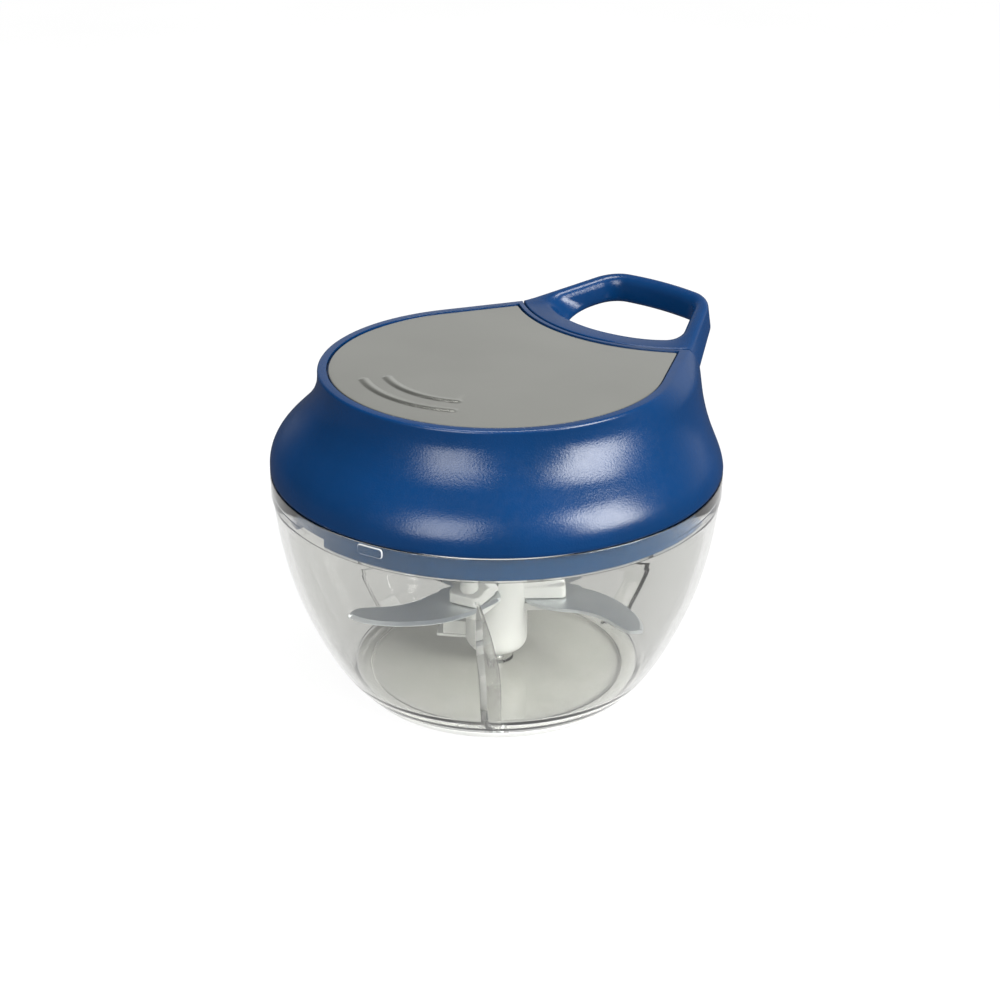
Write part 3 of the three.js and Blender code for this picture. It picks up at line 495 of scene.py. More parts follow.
def lathe(name, profile, segments=192):
    """Turns a closed outline of (radius, height) points round the Z axis."""
    verts, rows = [], []
    for radius, height in profile:
        if radius < TINY:
            rows.append([len(verts)] * segments)
            verts.append((0, 0, height))
        else:
            rows.append(list(range(len(verts), len(verts) + segments)))
            verts += [(*polar(radius, 360 * i / segments), height) for i in range(segments)]
    faces = []
    for k, low in enumerate(rows):
        high = rows[(k + 1) % len(rows)]
        for i in range(segments):
            j = (i + 1) % segments
            corners = [low[i], low[j], high[j], high[i]]
            face = [c for n, c in enumerate(corners) if c not in corners[:n]]
            if len(face) > 2:
                faces.append(face)
    return new_object(name, verts, faces)


def loft(name, rings):
    """A closed body through rings of equal count, capped at both ends."""
    count = len(rings[0])
    verts = [tuple(p) for ring in rings for p in ring]
    faces = []
    for k in range(len(rings) - 1):
        for i in range(count):
            j = (i + 1) % count
            faces.append([k * count + i, k * count + j, (k + 1) * count + j, (k + 1) * count + i])
    faces.append(list(range(count - 1, -1, -1)))
    faces.append([(len(rings) - 1) * count + i for i in range(count)])
    return new_object(name, verts, faces)


def slab(name, outline, bottom, top, soft=0.0):
    """An outline drawn up between two heights, with its edges eased by soft."""
    levels = [(bottom, 0), (top, 0)]
    if soft:
        ease = [(0, 1), (0.13, 0.5), (0.5, 0.13), (1, 0)]
        levels = [(bottom + soft * a, -soft * b) for a, b in ease]
        levels += [(top - soft * a, -soft * b) for a, b in reversed(ease)]
    return loft(name, [[(x, y, z) for x, y in grown(outline, g)] for z, g in levels])


def outward(outline, i):
    """The normal of an outline at one of its points, to the right of its way round."""
    before, after = outline[i - 1], outline[(i + 1) % len(outline)]
    return Vector((after[1] - before[1], before[0] - after[0])).normalized()


def grown(outline, amount):
    """A closed outline moved outwards by an amount along its own normals."""
    if not amount:
        return list(outline)
    area = sum(a[0] * b[1] - b[0] * a[1] for a, b in zip(outline, outline[1:] + outline[:1]))
    sign = 1 if area > 0 else -1
    moves = [outward(outline, i) * sign * amount for i in range(len(outline))]
    return [(x + move.x, y + move.y) for (x, y), move in zip(outline, moves)]


def cylinder(name, radius, bottom, top, segments=48):
    return lathe(name, [(0, bottom), (radius, bottom), (radius, top), (0, top)], segments)


def moved(obj, offset=(0, 0, 0), degrees=0.0):
    obj.data.transform(Matrix.Translation(Vector(offset) * MM))
    obj.data.transform(Matrix.Rotation(math.radians(degrees), 4, "Z"))
    return obj


def along_cord(obj, start):
    """Lays a body that stands on Z along the cord's line, with its foot at start."""
    obj.data.transform(Matrix.Rotation(math.radians(90), 4, "Y"))
    obj.data.transform(Matrix.Translation(Vector((start, 0, CORD_HEIGHT)) * MM))
    return obj


def smooth_table(keys, values, x):
    """A smooth curve through a table, read at x."""
    x = min(max(x, keys[0]), keys[-1])
    k = max(1, next((i for i, key in enumerate(keys) if key >= x), len(keys) - 1))
    x0, x1 = keys[k - 1], keys[k]
    t = (x - x0) / (x1 - x0)

    def slope(i):
        first, last = max(i - 1, 0), min(i + 1, len(keys) - 1)
        return (values[last] - values[first]) / (keys[last] - keys[first])

    m0, m1 = slope(k - 1) * (x1 - x0), slope(k) * (x1 - x0)
    return ((2 * t ** 3 - 3 * t ** 2 + 1) * values[k - 1] + (t ** 3 - 2 * t ** 2 + t) * m0
            + (3 * t ** 2 - 2 * t ** 3) * values[k] + (t ** 3 - t ** 2) * m1)


def spline(points, steps):
    """Points on a smooth curve through the given ones."""
    out = []
    for i in range(len(points) - 1):
        p0, p1, p2, p3 = (Vector(points[min(max(i + d, 0), len(points) - 1)]) for d in (-1, 0, 1, 2))
        for step in range(steps):
            t = step / steps
            out.append(0.5 * ((2 * p1) + (p2 - p0) * t + (2 * p0 - 5 * p1 + 4 * p2 - p3) * t ** 2
                              + (3 * p1 - p0 - 3 * p2 + p3) * t ** 3))
    out.append(Vector(points[-1]))
    return [tuple(p) for p in out]


# Materials
def linear(*rgb):
    """A colour of 0 to 255 a channel, as the linear values that a shader takes."""
    shares = [v / 255 for v in rgb]
    return (*(s / 12.92 if s <= 0.04045 else ((s + 0.055) / 1.055) ** 2.4 for s in shares), 1)


def grey(value):
    return (value, value, value, 1)


class Nodes:
    """A material's node tree, with short calls for what the finishes below use."""

    def __init__(self, name):
        self.material = bpy.data.materials.new(name)
        self.material.use_nodes = True
        self.tree = self.material.node_tree
        self.shader = self.tree.nodes["Principled BSDF"]
        self.place = self.add("ShaderNodeTexCoord").outputs["Object"]

    def add(self, kind, **inputs):
        node = self.tree.nodes.new(kind)
        for key, value in inputs.items():
            socket = node.inputs[key.replace("_", " ")]
            if isinstance(value, bpy.types.NodeSocket):
                self.tree.links.new(value, socket)
            else:
                socket.default_value = value
        return node

    def set(self, **inputs):
        for key, value in inputs.items():
            self.shader.inputs[key.replace("_", " ")].default_value = value

    def noise(self, scale, detail=2, roughness=0.5, stretch=None):
        where = self.place
        if stretch:
            where = self.add("ShaderNodeMapping", Vector=where, Scale=stretch).outputs["Vector"]
        node = self.add("ShaderNodeTexNoise", Vector=where, Scale=scale, Detail=detail, Roughness=roughness)
        return node.outputs["Fac"]

    def tones(self, fac, dark, light, low=0.35, high=0.65):
        """Lets the colour drift from one tone to another as the factor goes from low to high."""
        node = self.add("ShaderNodeValToRGB", Fac=fac)
        for element, position, color in zip(node.color_ramp.elements, (low, high), (dark, light)):
            element.position = position
            element.color = color
        self.tree.links.new(node.outputs["Color"], self.shader.inputs["Base Color"])

    def rough(self, fac, low, high):
        node = self.add("ShaderNodeMapRange", Value=fac)
        set_range(node, NOISE_SPAN, (low, high))
        self.tree.links.new(node.outputs["Result"], self.shader.inputs["Roughness"])

    def grain(self, fac, depth, strength):
        node = self.add("ShaderNodeBump", Height=fac, Distance=depth, Strength=strength)
        self.tree.links.new(node.outputs["Normal"], self.shader.inputs["Normal"])

    def surface(self):
        return self.tree.nodes["Material Output"].inputs["Surface"]


def blue_plastic(name, dark, light):
    n = Nodes(name)
    n.tones(n.noise(scale=35), dark, light)
    n.rough(n.noise(scale=500), low=0.22, high=0.27)
    n.grain(n.noise(scale=1700, roughness=0.55), depth=0.0001, strength=0.5)
    n.set(Specular_IOR_Level=0.38, IOR=1.5)
    return n.material


def clear_plastic():
    n = Nodes("clear_plastic")
    n.tones(n.noise(scale=14), dark=(0.685, 0.686, 0.668, 1), light=(0.71, 0.712, 0.694, 1))
    n.set(Roughness=0.0, IOR=1.45, Transmission_Weight=1.0)
    n.grain(n.noise(scale=45, detail=1), depth=0.0003, strength=0.04)
    see_through(n, tint=(0.88, 0.88, 0.87, 1), share=0.0)
    return n.material


def lightened_fin_plastic():
    """A paler, clearer copy of the bowl's plastic for the fins: painted light, which makes the fins show lighter
    than the wall's plastic would.
    """
    n = Nodes("lightened_fin_plastic")
    n.tones(n.noise(scale=14), dark=(0.9, 0.9, 0.885, 1), light=(0.93, 0.93, 0.915, 1))
    n.set(Roughness=0.0, IOR=1.45, Transmission_Weight=1.0)
    see_through(n, tint=(0.96, 0.96, 0.95, 1), share=0.35)
    return n.material


def painted_pad_highlight():
    """The pad's rounded edge: a light, matt, half-opaque colour that paints the highlight round the pad, where
    the rest of the bowl is polished.
    """
    n = Nodes("painted_pad_highlight")
    n.tones(n.noise(scale=200), dark=(0.56, 0.57, 0.57, 1), light=(0.64, 0.65, 0.65, 1))
    n.rough(n.noise(scale=900), low=0.3, high=0.45)
    n.set(IOR=1.45, Transmission_Weight=0.3)
    return n.material


def see_through(n, tint, share):
    """Adds a share of plain see-through, and lets the lamps' rays pass, so that what is inside is lit."""
    clear = n.add("ShaderNodeBsdfTransparent", Color=tint).outputs["BSDF"]
    soft = mix_shaders(n.tree, n.shader.outputs["BSDF"], clear, n.add("ShaderNodeMixShader", Fac=share))
    path = n.add("ShaderNodeLightPath")
    mix_by_ray(n.tree, soft, clear, path.outputs["Is Shadow Ray"], n.surface())


def white_plastic():
    n = Nodes("white_plastic")
    n.tones(n.noise(scale=60), linear(196, 197, 194), linear(204, 205, 202))
    n.rough(n.noise(scale=500), low=0.34, high=0.44)
    n.grain(n.noise(scale=1500), depth=0.00003, strength=0.4)
    n.set(Subsurface_Weight=0.12, Subsurface_Radius=(0.002, 0.002, 0.002), Subsurface_Scale=1.0)
    return n.material


def foot_rubber():
    n = Nodes("foot_rubber")
    n.tones(n.noise(scale=80, detail=3), linear(224, 225, 221), linear(232, 232, 229))
    n.rough(n.noise(scale=600), low=0.5, high=0.62)
    n.grain(n.noise(scale=2600, detail=3), depth=0.00003, strength=0.6)
    return n.material


def satin_steel():
    n = Nodes("satin_steel")
    n.tones(n.noise(scale=22), linear(196, 197, 189), linear(203, 204, 196))
    brushing = n.noise(scale=1, detail=4, roughness=0.6, stretch=(4200, 220, 220))
    n.rough(brushing, low=0.2, high=0.27)
    n.grain(brushing, depth=0.00001, strength=0.25)
    n.set(Metallic=1.0)
    return n.material


def blade_steel():
    n = Nodes("blade_steel")
    n.tones(n.noise(scale=90, detail=3), linear(204, 209, 212), linear(220, 224, 226), low=0.3, high=0.7)
    brushing = n.noise(scale=1, stretch=(300, 300, 2600))
    n.rough(brushing, low=0.3, high=0.38)
    n.grain(brushing, depth=0.000005, strength=0.2)
    n.set(Metallic=0.85)
    return n.material


def dark_plastic():
    n = Nodes("dark_plastic")
    n.tones(n.noise(scale=70), linear(40, 42, 45), linear(50, 52, 55))
    n.rough(n.noise(scale=500), low=0.42, high=0.56)
    n.grain(n.noise(scale=1900), depth=0.00004, strength=0.5)
    return n.material


def cord_weave():
    n = Nodes("cord_weave")
    strands = n.add("ShaderNodeTexWave", Vector=n.place, Scale=620.0, Distortion=2.0).outputs["Fac"]
    n.tones(strands, linear(196, 192, 180), linear(236, 234, 226), low=0.1, high=0.8)
    n.rough(n.noise(scale=3000), low=0.75, high=0.9)
    n.grain(strands, depth=0.0001, strength=0.8)
    n.set(Sheen_Weight=0.3)
    return n.material


def floor_paper():
    """White paper for the eye; in gloss on the object it shows as the dim room that it lies in."""
    n = Nodes("floor_paper")
    n.tones(n.noise(scale=6), grey(0.065), grey(0.075), low=0.3, high=0.7)
    n.set(Roughness=0.95, Emission_Color=grey(1), Emission_Strength=0.9, Specular_IOR_Level=0.0)
    dim = n.add("ShaderNodeEmission", Color=DIM_FLOOR_COLOR, Strength=1.0)
    mix_by_ray(n.tree, n.shader.outputs["BSDF"], dim.outputs["Emission"], gloss_share(n.tree), n.surface())
    return n.material


def make_floor():
    size = FLOOR_HALF
    corners = [(-size, -size, 0), (size, -size, 0), (size, size, 0), (-size, size, 0)]
    floor = new_object("floor", corners, [[0, 1, 2, 3]])
    floor.data.materials.append(floor_paper())


# Bowl
def inner_wall(height):
    return smooth_table(WALL_HEIGHTS, WALL_RADII, height) - WALL


def bowl_shell():
    heights = np.linspace(WALL_HEIGHTS[0], WALL_HEIGHTS[-1], WALL_LEVELS)
    outer = [(smooth_table(WALL_HEIGHTS, WALL_RADII, h), h) for h in heights]
    inner = [(inner_wall(h), h) for h in heights if INNER_WALL_SPAN[0] < h < INNER_WALL_SPAN[1]]
    foot_seat = FOOT_RING_INNER - FIT
    profile = [
        (0, FLOOR_UNDER), (foot_seat, FLOOR_UNDER), (foot_seat, WALL_HEIGHTS[0]), *outer,
        (RIM_RADIUS, RIM_BOTTOM, EDGE_FINE), (RIM_RADIUS, RIM_TOP, EDGE_FINE), (RIM_INNER, RIM_TOP, EDGE_SOFT),
        (RIM_INNER, RIM_LEDGE, EDGE_SMALL), (inner_wall(RIM_LEDGE), RIM_LEDGE, EDGE_MILD),
        *reversed(inner), WALL_FOOT, (FLOOR_RADIUS, FLOOR_TOP, FLOOR_ROUNDING), (0, FLOOR_TOP),
    ]
    return lathe("bowl", fillet(profile, steps=4), segments=240)


def fin(degrees):
    rings = []
    half = FIN_THICKNESS / 2
    nose = half * FIN_TIP_SHARE
    for height in np.linspace(FIN_HEIGHTS[0], FIN_HEIGHTS[-1], FIN_LEVELS):
        wall = inner_wall(max(height, FLOOR_TOP))
        root = wall + FIN_ROOT
        tip = wall - smooth_table(FIN_HEIGHTS, FIN_DEPTHS, height)
        lean = smooth_table(FIN_HEIGHTS, FIN_LEANS, height)
        section = [(root, -half)]
        for turn in FIN_TIP_TURNS:
            x, y = polar(nose, turn)
            section.append((tip + nose - x, lean + y))
        section.append((root, half))
        rings.append([(x, y, height) for x, y in section])
    return moved(loft("fin", rings), degrees=degrees)


def sector_outline(inner, outer, degrees, steps=24):
    angles = [degrees[0] + (degrees[1] - degrees[0]) * i / steps for i in range(steps + 1)]
    return [polar(outer, a) for a in angles] + [polar(inner, a) for a in reversed(angles)]


def rim_pad():
    """A low rounded rectangle on the rim, with soft edges."""
    half = (PAD_DEGREES[1] - PAD_DEGREES[0]) / 2
    middle = PAD_DEGREES[0] + half
    wide, high = RIM_RADIUS * math.radians(half), (PAD_HEIGHTS[1] - PAD_HEIGHTS[0]) / 2
    corners = [(-wide, -high), (wide, -high), (wide, high), (-wide, high)]
    outline = fillet([(x, y, PAD_CORNER_SHARE * high) for x, y in corners], steps=8)
    rings = []
    for up, shrink in [(-PAD_RISE, 0), *quarter_round(PAD_RISE, PAD_TURNS)]:
        spots = [(middle + math.degrees(x / RIM_RADIUS), y) for x, y in grown(outline, -shrink)]
        rings.append([(*polar(RIM_RADIUS + up, turn), PAD_HEIGHTS[0] + high + y) for turn, y in spots])
    return loft("pad", rings)


def bowl_material_index(polygon):
    """Which of the bowl's materials a face takes: 0 wall, 1 fin (a lighter copy, painted light), 2 the pad's
    edge (painted highlight).
    """
    x, y, z = polygon.center / MM
    radius = math.hypot(x, y)
    degrees = math.degrees(math.atan2(y, x))
    turn = min(abs((degrees - fin_degrees + 180) % 360 - 180) for fin_degrees in FIN_DEGREES)
    # Fin faces get the lighter copy of the plastic, which paints light
    if turn < FIN_LIGHTENED_DEGREES and z > FIN_LIGHTENED_BOTTOM and radius < inner_wall(z) - FIT / 2:
        return 1
    out = Vector((x, y, 0)).normalized()
    # The pad's rounded edge faces get the light colour that paints its highlight
    if radius > RIM_RADIUS + PAD_RISE / 20 and polygon.normal.dot(out) < PAD_FACE_COSINE:
        return 2
    return 0


def make_bowl(*materials):
    bowl = add(bowl_shell(), *[fin(degrees) for degrees in FIN_DEGREES])
    pad = rim_pad()
    bottom = FLOOR_TOP - SINK
    boss_profile = [(0, bottom), (BOSS_RADIUS, bottom), (BOSS_RADIUS, BOSS_TOP, EDGE_MILD), (0, BOSS_TOP)]
    boss = lathe("boss", fillet(boss_profile), segments=64)
    add(bowl, pad, boss)
    cut(bowl, cylinder("hole", PIN_RADIUS + FIT, PIN_BOTTOM - FIT, BOSS_TOP + OVERRUN))
    place(bowl, materials[0], "bowl_body", "clear_bowl", "bowl", BOWL_SMOOTH)
    for material in materials[1:]:
        bowl.data.materials.append(material)
    for polygon in bowl.data.polygons:
        polygon.material_index = bowl_material_index(polygon)


def make_foot(material):
    profile = fillet([
        (0, 0), (FOOT_RADIUS, 0, EDGE_BROAD), (FOOT_RING_RADIUS, FOOT_RING_TOP, EDGE_SMALL),
        (FOOT_RING_INNER, FOOT_RING_TOP, EDGE_CRISP), (FOOT_RING_INNER, FOOT_THICKNESS), (0, FOOT_THICKNESS),
    ])
    place(lathe("foot", profile), material, "bowl_body", "foot", "base_pad")


def make_pin(material):
    profile = fillet([
        (0, PIN_BOTTOM), (PIN_RADIUS, PIN_BOTTOM, EDGE_CRISP), (PIN_RADIUS, PIN_TOP, PIN_ROUNDING), (0, PIN_TOP),
    ], steps=8)
    place(lathe("pin", profile, segments=64), material, "bowl_body", "blade_steel", "blade_pin")


# Blade unit
def blade_body(index, levels, name):
    """A blade through levels of height, growth all round and grind along its cutting edge."""
    edge = spline(BLADE_EDGE, steps=6)
    back = spline([BLADE_EDGE[-1], *BLADE_BACK, BLADE_EDGE[0]], steps=5)[1:-1]
    outline = edge + back
    rings = []
    for height, grow, grind in levels:
        ring = []
        for i, (x, y) in enumerate(outline):
            move = outward(outline, i) * (grow - grind if 0 < i < len(edge) - 1 else grow)
            ring.append((x + move.x, y + move.y, BLADE_HEIGHTS[index] + height))
        rings.append(ring)
    return moved(loft(name, rings), degrees=BLADE_DEGREES[index])


def make_blade(index, material):
    half = BLADE_THICKNESS / 2
    levels = [(-half, -BLADE_EASE, 0), (-half + BLADE_EASE, 0, 0), (-half / 2, 0, 0),
              (half - BLADE_LIP, 0, BLADE_GRIND), (half, -BLADE_LIP, BLADE_GRIND)]
    blade = blade_body(index, levels, f"steel_blade_{index + 1}")
    place(blade, material, "blade_unit", "blade_steel", f"blade_{index + 1}", BLADE_SMOOTH)


def bar_outline(reach, half, corner, steps):
    return fillet([(0, -half), (reach, -half, corner), (reach, half, corner), (0, half)], steps)


def make_shaft(material):
    low, high = COLLAR_HEIGHTS
    profile = fillet([
        (0, SHAFT_BOTTOM), (SHAFT_RADIUS, SHAFT_BOTTOM, SHAFT_ROUNDING), (SHAFT_RADIUS, low, EDGE_SOFT),
        (COLLAR_RADIUS, low, EDGE_SOFT), (COLLAR_RADIUS, high, EDGE_SOFT), (SHAFT_RADIUS, high, EDGE_SOFT),
        (SHAFT_RADIUS, SHAFT_TOP, EDGE_SOFT), (0, SHAFT_TOP),
    ], steps=8)
    shaft = lathe("shaft", profile, segments=128)
    arm_outline = bar_outline(ARM_REACH, ARM_HALF, ARM_CORNER, steps=6)
    for height, blade_degrees in zip(BLADE_HEIGHTS, BLADE_DEGREES):
        degrees = blade_degrees + ARM_DEGREES
        arm_top = height + ARM_ABOVE
        arm = slab("arm", arm_outline, height - ARM_BELOW, arm_top, EDGE_SOFT)
        post = cylinder("post", POST_RADIUS, arm_top - POST_SINK, low + POST_SINK)
        add(shaft, moved(arm, degrees=degrees), moved(post, (POST_REACH, 0, 0), degrees))
    for reach, half, bottom, top in LEDGES:
        ledge = slab("ledge", bar_outline(reach, half, EDGE_BROAD, steps=4), bottom, top, EDGE_FINE)
        add(shaft, moved(ledge, degrees=LEDGE_DEGREES))
    half = BLADE_THICKNESS / 2 + FIT
    for index in range(len(BLADE_HEIGHTS)):
        cut(shaft, blade_body(index, [(-half, FIT, 0), (half, FIT, 0)], "slot"))
    cut(shaft, cylinder("bore", PIN_RADIUS + FIT, SHAFT_BOTTOM - OVERRUN, PIN_TOP + FIT))
    side = DRIVER_HALF + SOCKET_GAP
    square = [(-side, -side), (side, -side), (side, side), (-side, side)]
    cut(shaft, slab("socket", square, SOCKET_BOTTOM, SHAFT_TOP + OVERRUN))
    place(shaft, material, "blade_unit", "white_plastic", "blade_shaft")


# Lid
def turn_from_x(degrees):
    """How far a direction is turned from +X, either way."""
    return abs(((degrees + 540) % 360) - 180)


def top_radius(degrees, radius, arc):
    """The lid top's teardrop: a circle, two straight sides and the arc of the joint."""
    turn = turn_from_x(degrees)
    straight = radius / math.cos(math.radians(SIDE_DEGREES - turn)) if turn < SIDE_DEGREES else radius
    forward, side = polar(JOINT_CENTRE, turn)
    if turn > SIDE_DEGREES or side >= arc:
        return straight
    return min(straight, forward - math.sqrt(arc ** 2 - side ** 2))


def corner_angle(radius, arc):
    """The angle at which a straight side meets the joint's arc."""
    low, high = 0.0, SIDE_DEGREES
    for _ in range(50):
        middle = (low + high) / 2
        forward, side = polar(JOINT_CENTRE, middle)
        straight = radius / math.cos(math.radians(SIDE_DEGREES - middle))
        on_arc = side < arc and forward - math.sqrt(arc ** 2 - side ** 2) < straight
        low, high = (middle, high) if on_arc else (low, middle)
    return (low + high) / 2


def lid_angles(radius, arc, count=540):
    """Equal steps round the axis, with the nearest ones moved to the teardrop's corners."""
    corner = corner_angle(radius, arc)
    angles = [360 * i / count for i in range(count)]
    for target in (corner, 360 - corner):
        nearest = min(range(count), key=lambda i: abs(angles[i] - target))
        angles[nearest] = target
    return angles


LID_ANGLES = lid_angles(LID_TOP_RADIUS, JOINT_RADIUS)


def lid_share(degrees, share):
    """How much of the bulge is left at a share of the lid's height; the corners keep more of it."""
    turn = turn_from_x(degrees)
    fade = CORNER_DEGREES if turn < CORNER_DEGREES else CORNER_FADE
    corner = (1 + math.cos(math.pi * min(abs(turn - CORNER_DEGREES) / fade, 1))) / 2
    plain = smooth_table(HEIGHT_SHARES, ROUND_SHARES, share)
    return plain + (smooth_table(HEIGHT_SHARES, CORNER_SHARES, share) - plain) * corner


def lid_radius(degrees, height):
    top = top_radius(degrees, LID_TOP_RADIUS, JOINT_RADIUS)
    share = min(max((height - LID_BOTTOM) / (LID_TOP - LID_BOTTOM), 0), 1)
    return top + (LID_BULGE - top) * lid_share(degrees, share)


def ring_at(height, radius_at, angles=None):
    return [(*polar(radius_at(a), a), height) for a in angles or LID_ANGLES]


def lid_outside():
    rings = [ring_at(height, lambda a, r=radius: r) for height, radius in LID_LOWER_EDGE]
    for height in np.linspace(LID_BOTTOM + LID_SIDE_START, LID_TOP - LID_ROUNDING, LID_LEVELS):
        rings.append(ring_at(height, lambda a, h=height: lid_radius(a, h)))
    for up, shrink in quarter_round(LID_ROUNDING, LID_TURNS):
        height = LID_TOP - LID_ROUNDING + up
        rings.append(ring_at(height, lambda a, h=height, d=shrink: lid_radius(a, h) - d))
    return loft("lid", rings)


def lid_inside():
    angles = LID_ANGLES[::3]
    mouth = (LID_BOTTOM - OVERRUN, SKIRT_TOP + FIT)
    rings = [ring_at(h, lambda a: SKIRT_RADIUS + FIT, angles) for h in mouth]
    heights = [LID_BOTTOM + (LID_TOP - LID_BOTTOM) * share for share in HEIGHT_SHARES[::2]]
    heights = [h for h in heights if SKIRT_TOP + LID_WALL < h < DECK_UNDER - LID_WALL]
    for height in [*heights, DECK_UNDER]:
        level = height + LID_WALL_DROP
        rings.append(ring_at(height, lambda a, h=level: lid_radius(a, h) - LID_WALL, angles))
    return loft("inside", rings)


def boss_limit():
    """A body just inside the lid's skin, which the screw bosses don't leave."""
    angles = LID_ANGLES[::4]
    heights = np.linspace(LID_BOTTOM + BOSS_LIMIT_ENDS, LID_TOP - BOSS_LIMIT_ENDS, 12)
    rings = [ring_at(h, lambda a, h=h: lid_radius(a, h) - BOSS_LIMIT_INSET, angles) for h in heights]
    mouth = cylinder("mouth", SKIRT_INNER, LID_FLOOR_TOP, LID_BOTTOM + OVERRUN, segments=96)
    return add(loft("rough", rings), mouth)


def top_slab(name, inset, joint_inset, bottom, top):
    radius, arc = LID_TOP_RADIUS - inset, JOINT_RADIUS + joint_inset
    angles = lid_angles(radius, arc)
    return loft(name, [ring_at(h, lambda a: top_radius(a, radius, arc), angles) for h in (bottom, top)])


def boss_angles():
    return [360 / BOSS_COUNT * (i + 0.5) for i in range(BOSS_COUNT)]


def make_lid(material):
    seat_bottom = LID_TOP - HANDLE_THICKNESS - FIT
    above = LID_TOP + OVERRUN
    joint_centre = (JOINT_CENTRE, 0, 0)
    seat_wall = cylinder("seat_wall", JOINT_RADIUS + LID_WALL, seat_bottom - LID_WALL, above, segments=180)
    lid = cut(lid_outside(), cut(lid_inside(), moved(seat_wall, joint_centre)))
    reach = (SCREW_BOSS_REACH, 0, 0)
    for degrees in boss_angles():
        boss = cylinder("boss", SCREW_BOSS_RADIUS, LID_FLOOR_TOP + FIT, DECK_UNDER + SINK)
        add(lid, keep(moved(boss, reach, degrees), boss_limit()))
    for degrees in boss_angles():
        hole_top = LID_FLOOR_TOP + SCREW_HOLE_DEPTH
        hole = cylinder("hole", SCREW_HOLE, LID_FLOOR_TOP - OVERRUN, hole_top, segments=32)
        cut(lid, moved(hole, reach, degrees))
    add(lid, cylinder("axle", AXLE_RADIUS, AXLE_BOTTOM, DECK_UNDER + SINK, segments=64))
    insets = (PLATE_INSET - RECESS_GAP, PLATE_JOINT_INSET - RECESS_GAP)
    cut(lid, top_slab("recess", *insets, RECESS_FLOOR, above))
    cut(lid, moved(cylinder("seat", JOINT_RADIUS, seat_bottom, above, segments=360), joint_centre))
    hole = cylinder("cord_hole", EYELET_RADIUS + FIT, 0, JOINT_RADIUS, segments=40)
    cut(lid, along_cord(hole, EYELET_START))
    place(lid, material, "lid", "blue_plastic", "lid_shell")


def rib_height(x, y):
    """The height of the embossed arcs above the plate: rounded ridges with round ends."""
    dx, dy = x - RIB_CENTRE[0], y - RIB_CENTRE[1]
    degrees = math.degrees(math.atan2(dy, dx)) % 360
    past_end = math.radians(max(RIB_DEGREES[0] - degrees, degrees - RIB_DEGREES[1]))
    half = RIB_WIDTH / 2
    height = 0.0
    for rib in RIB_RADII:
        away = math.hypot(math.hypot(dx, dy) - rib, max(past_end * rib + half, 0)) / half
        if away < 1:
            height += RIB_RISE * math.cos(away * math.pi / 2) ** RIB_POWER
    return height


def make_plate(material):
    radius, arc = LID_TOP_RADIUS - PLATE_INSET, JOINT_RADIUS + PLATE_JOINT_INSET
    angles = lid_angles(radius, arc, count=720)
    soft = PLATE_ROUNDING
    edge = [(PLATE_BOTTOM, PLATE_EASE), (PLATE_BOTTOM + PLATE_EASE, 0)]
    edge += [(PLATE_TOP - soft + up, shrink) for up, shrink in quarter_round(soft, PLATE_TURNS)]
    rings = []
    for height, shrink in edge:
        rings.append(ring_at(height, lambda a, d=shrink: top_radius(a, radius - d, arc + d), angles))
    shares = {share for ring_set in PLATE_RINGS for share in np.linspace(*ring_set)}
    for share in sorted(shares, reverse=True):
        flat = [polar(top_radius(a, radius - soft, arc + soft) * share, a) for a in angles]
        rings.append([(x, y, PLATE_TOP + rib_height(x, y)) for x, y in flat])
    place(loft("plate", rings), material, "lid", "satin_steel", "top_plate", PLATE_SMOOTH)


def make_lid_base(material):
    profile = fillet([
        (BORE_RADIUS, JOURNAL_BOTTOM, EDGE_SMALL), (COLLAR_OUTER, JOURNAL_BOTTOM, EDGE_MILD),
        (COLLAR_OUTER, LID_FLOOR_UNDER, EDGE_MILD), (SKIRT_INNER, LID_FLOOR_UNDER, EDGE_SOFT),
        (SKIRT_INNER, SKIRT_BOTTOM, EDGE_SOFT), (SKIRT_RADIUS, SKIRT_BOTTOM, EDGE_SOFT),
        (SKIRT_RADIUS, SKIRT_TOP, EDGE_SMALL), (SKIRT_INNER, SKIRT_TOP, EDGE_SMALL),
        (SKIRT_INNER, LID_FLOOR_TOP, EDGE_SMALL), (COLLAR_OUTER, LID_FLOOR_TOP, EDGE_SMALL),
        (COLLAR_OUTER, JOURNAL_TOP, EDGE_SMALL), (BORE_RADIUS, JOURNAL_TOP, EDGE_SMALL),
    ], steps=4)
    base = lathe("lid_floor", profile, segments=240)
    for degrees in boss_angles():
        span = (LID_FLOOR_UNDER - OVERRUN, LID_FLOOR_TOP + OVERRUN)
        hole = cylinder("hole", SCREW_CLEARANCE, *span, segments=32)
        cut(base, moved(hole, (SCREW_BOSS_REACH, 0, 0), degrees))
    outline = sector_outline(SKIRT_INNER - OVERRUN, SKIRT_RADIUS + OVERRUN, NOTCH_DEGREES)
    cut(base, slab("notch", outline, SKIRT_BOTTOM - OVERRUN, NOTCH_TOP))
    place(base, material, "lid", "blue_plastic", "lid_base")


# Handle
SIDE_NORMAL = polar(1, HANDLE_SIDE_DEGREES)


def side_meets_arc(distance, degrees, radius):
    """Where a side, given by its distance and its normal's angle, meets a circle round the joint."""
    x, y = polar(1, degrees)
    offset = distance - JOINT_CENTRE * x
    reach = math.sqrt(radius ** 2 - offset ** 2)
    return JOINT_CENTRE + offset * x - reach * y, offset * y + reach * x


ROOT_CORNER = side_meets_arc(LID_TOP_RADIUS, SIDE_DEGREES, JOINT_RADIUS)
HANDLE_SIDE = ROOT_CORNER[0] * SIDE_NORMAL[0] + ROOT_CORNER[1] * SIDE_NORMAL[1]


def side_at(distance, x):
    return (distance - x * SIDE_NORMAL[0]) / SIDE_NORMAL[1]


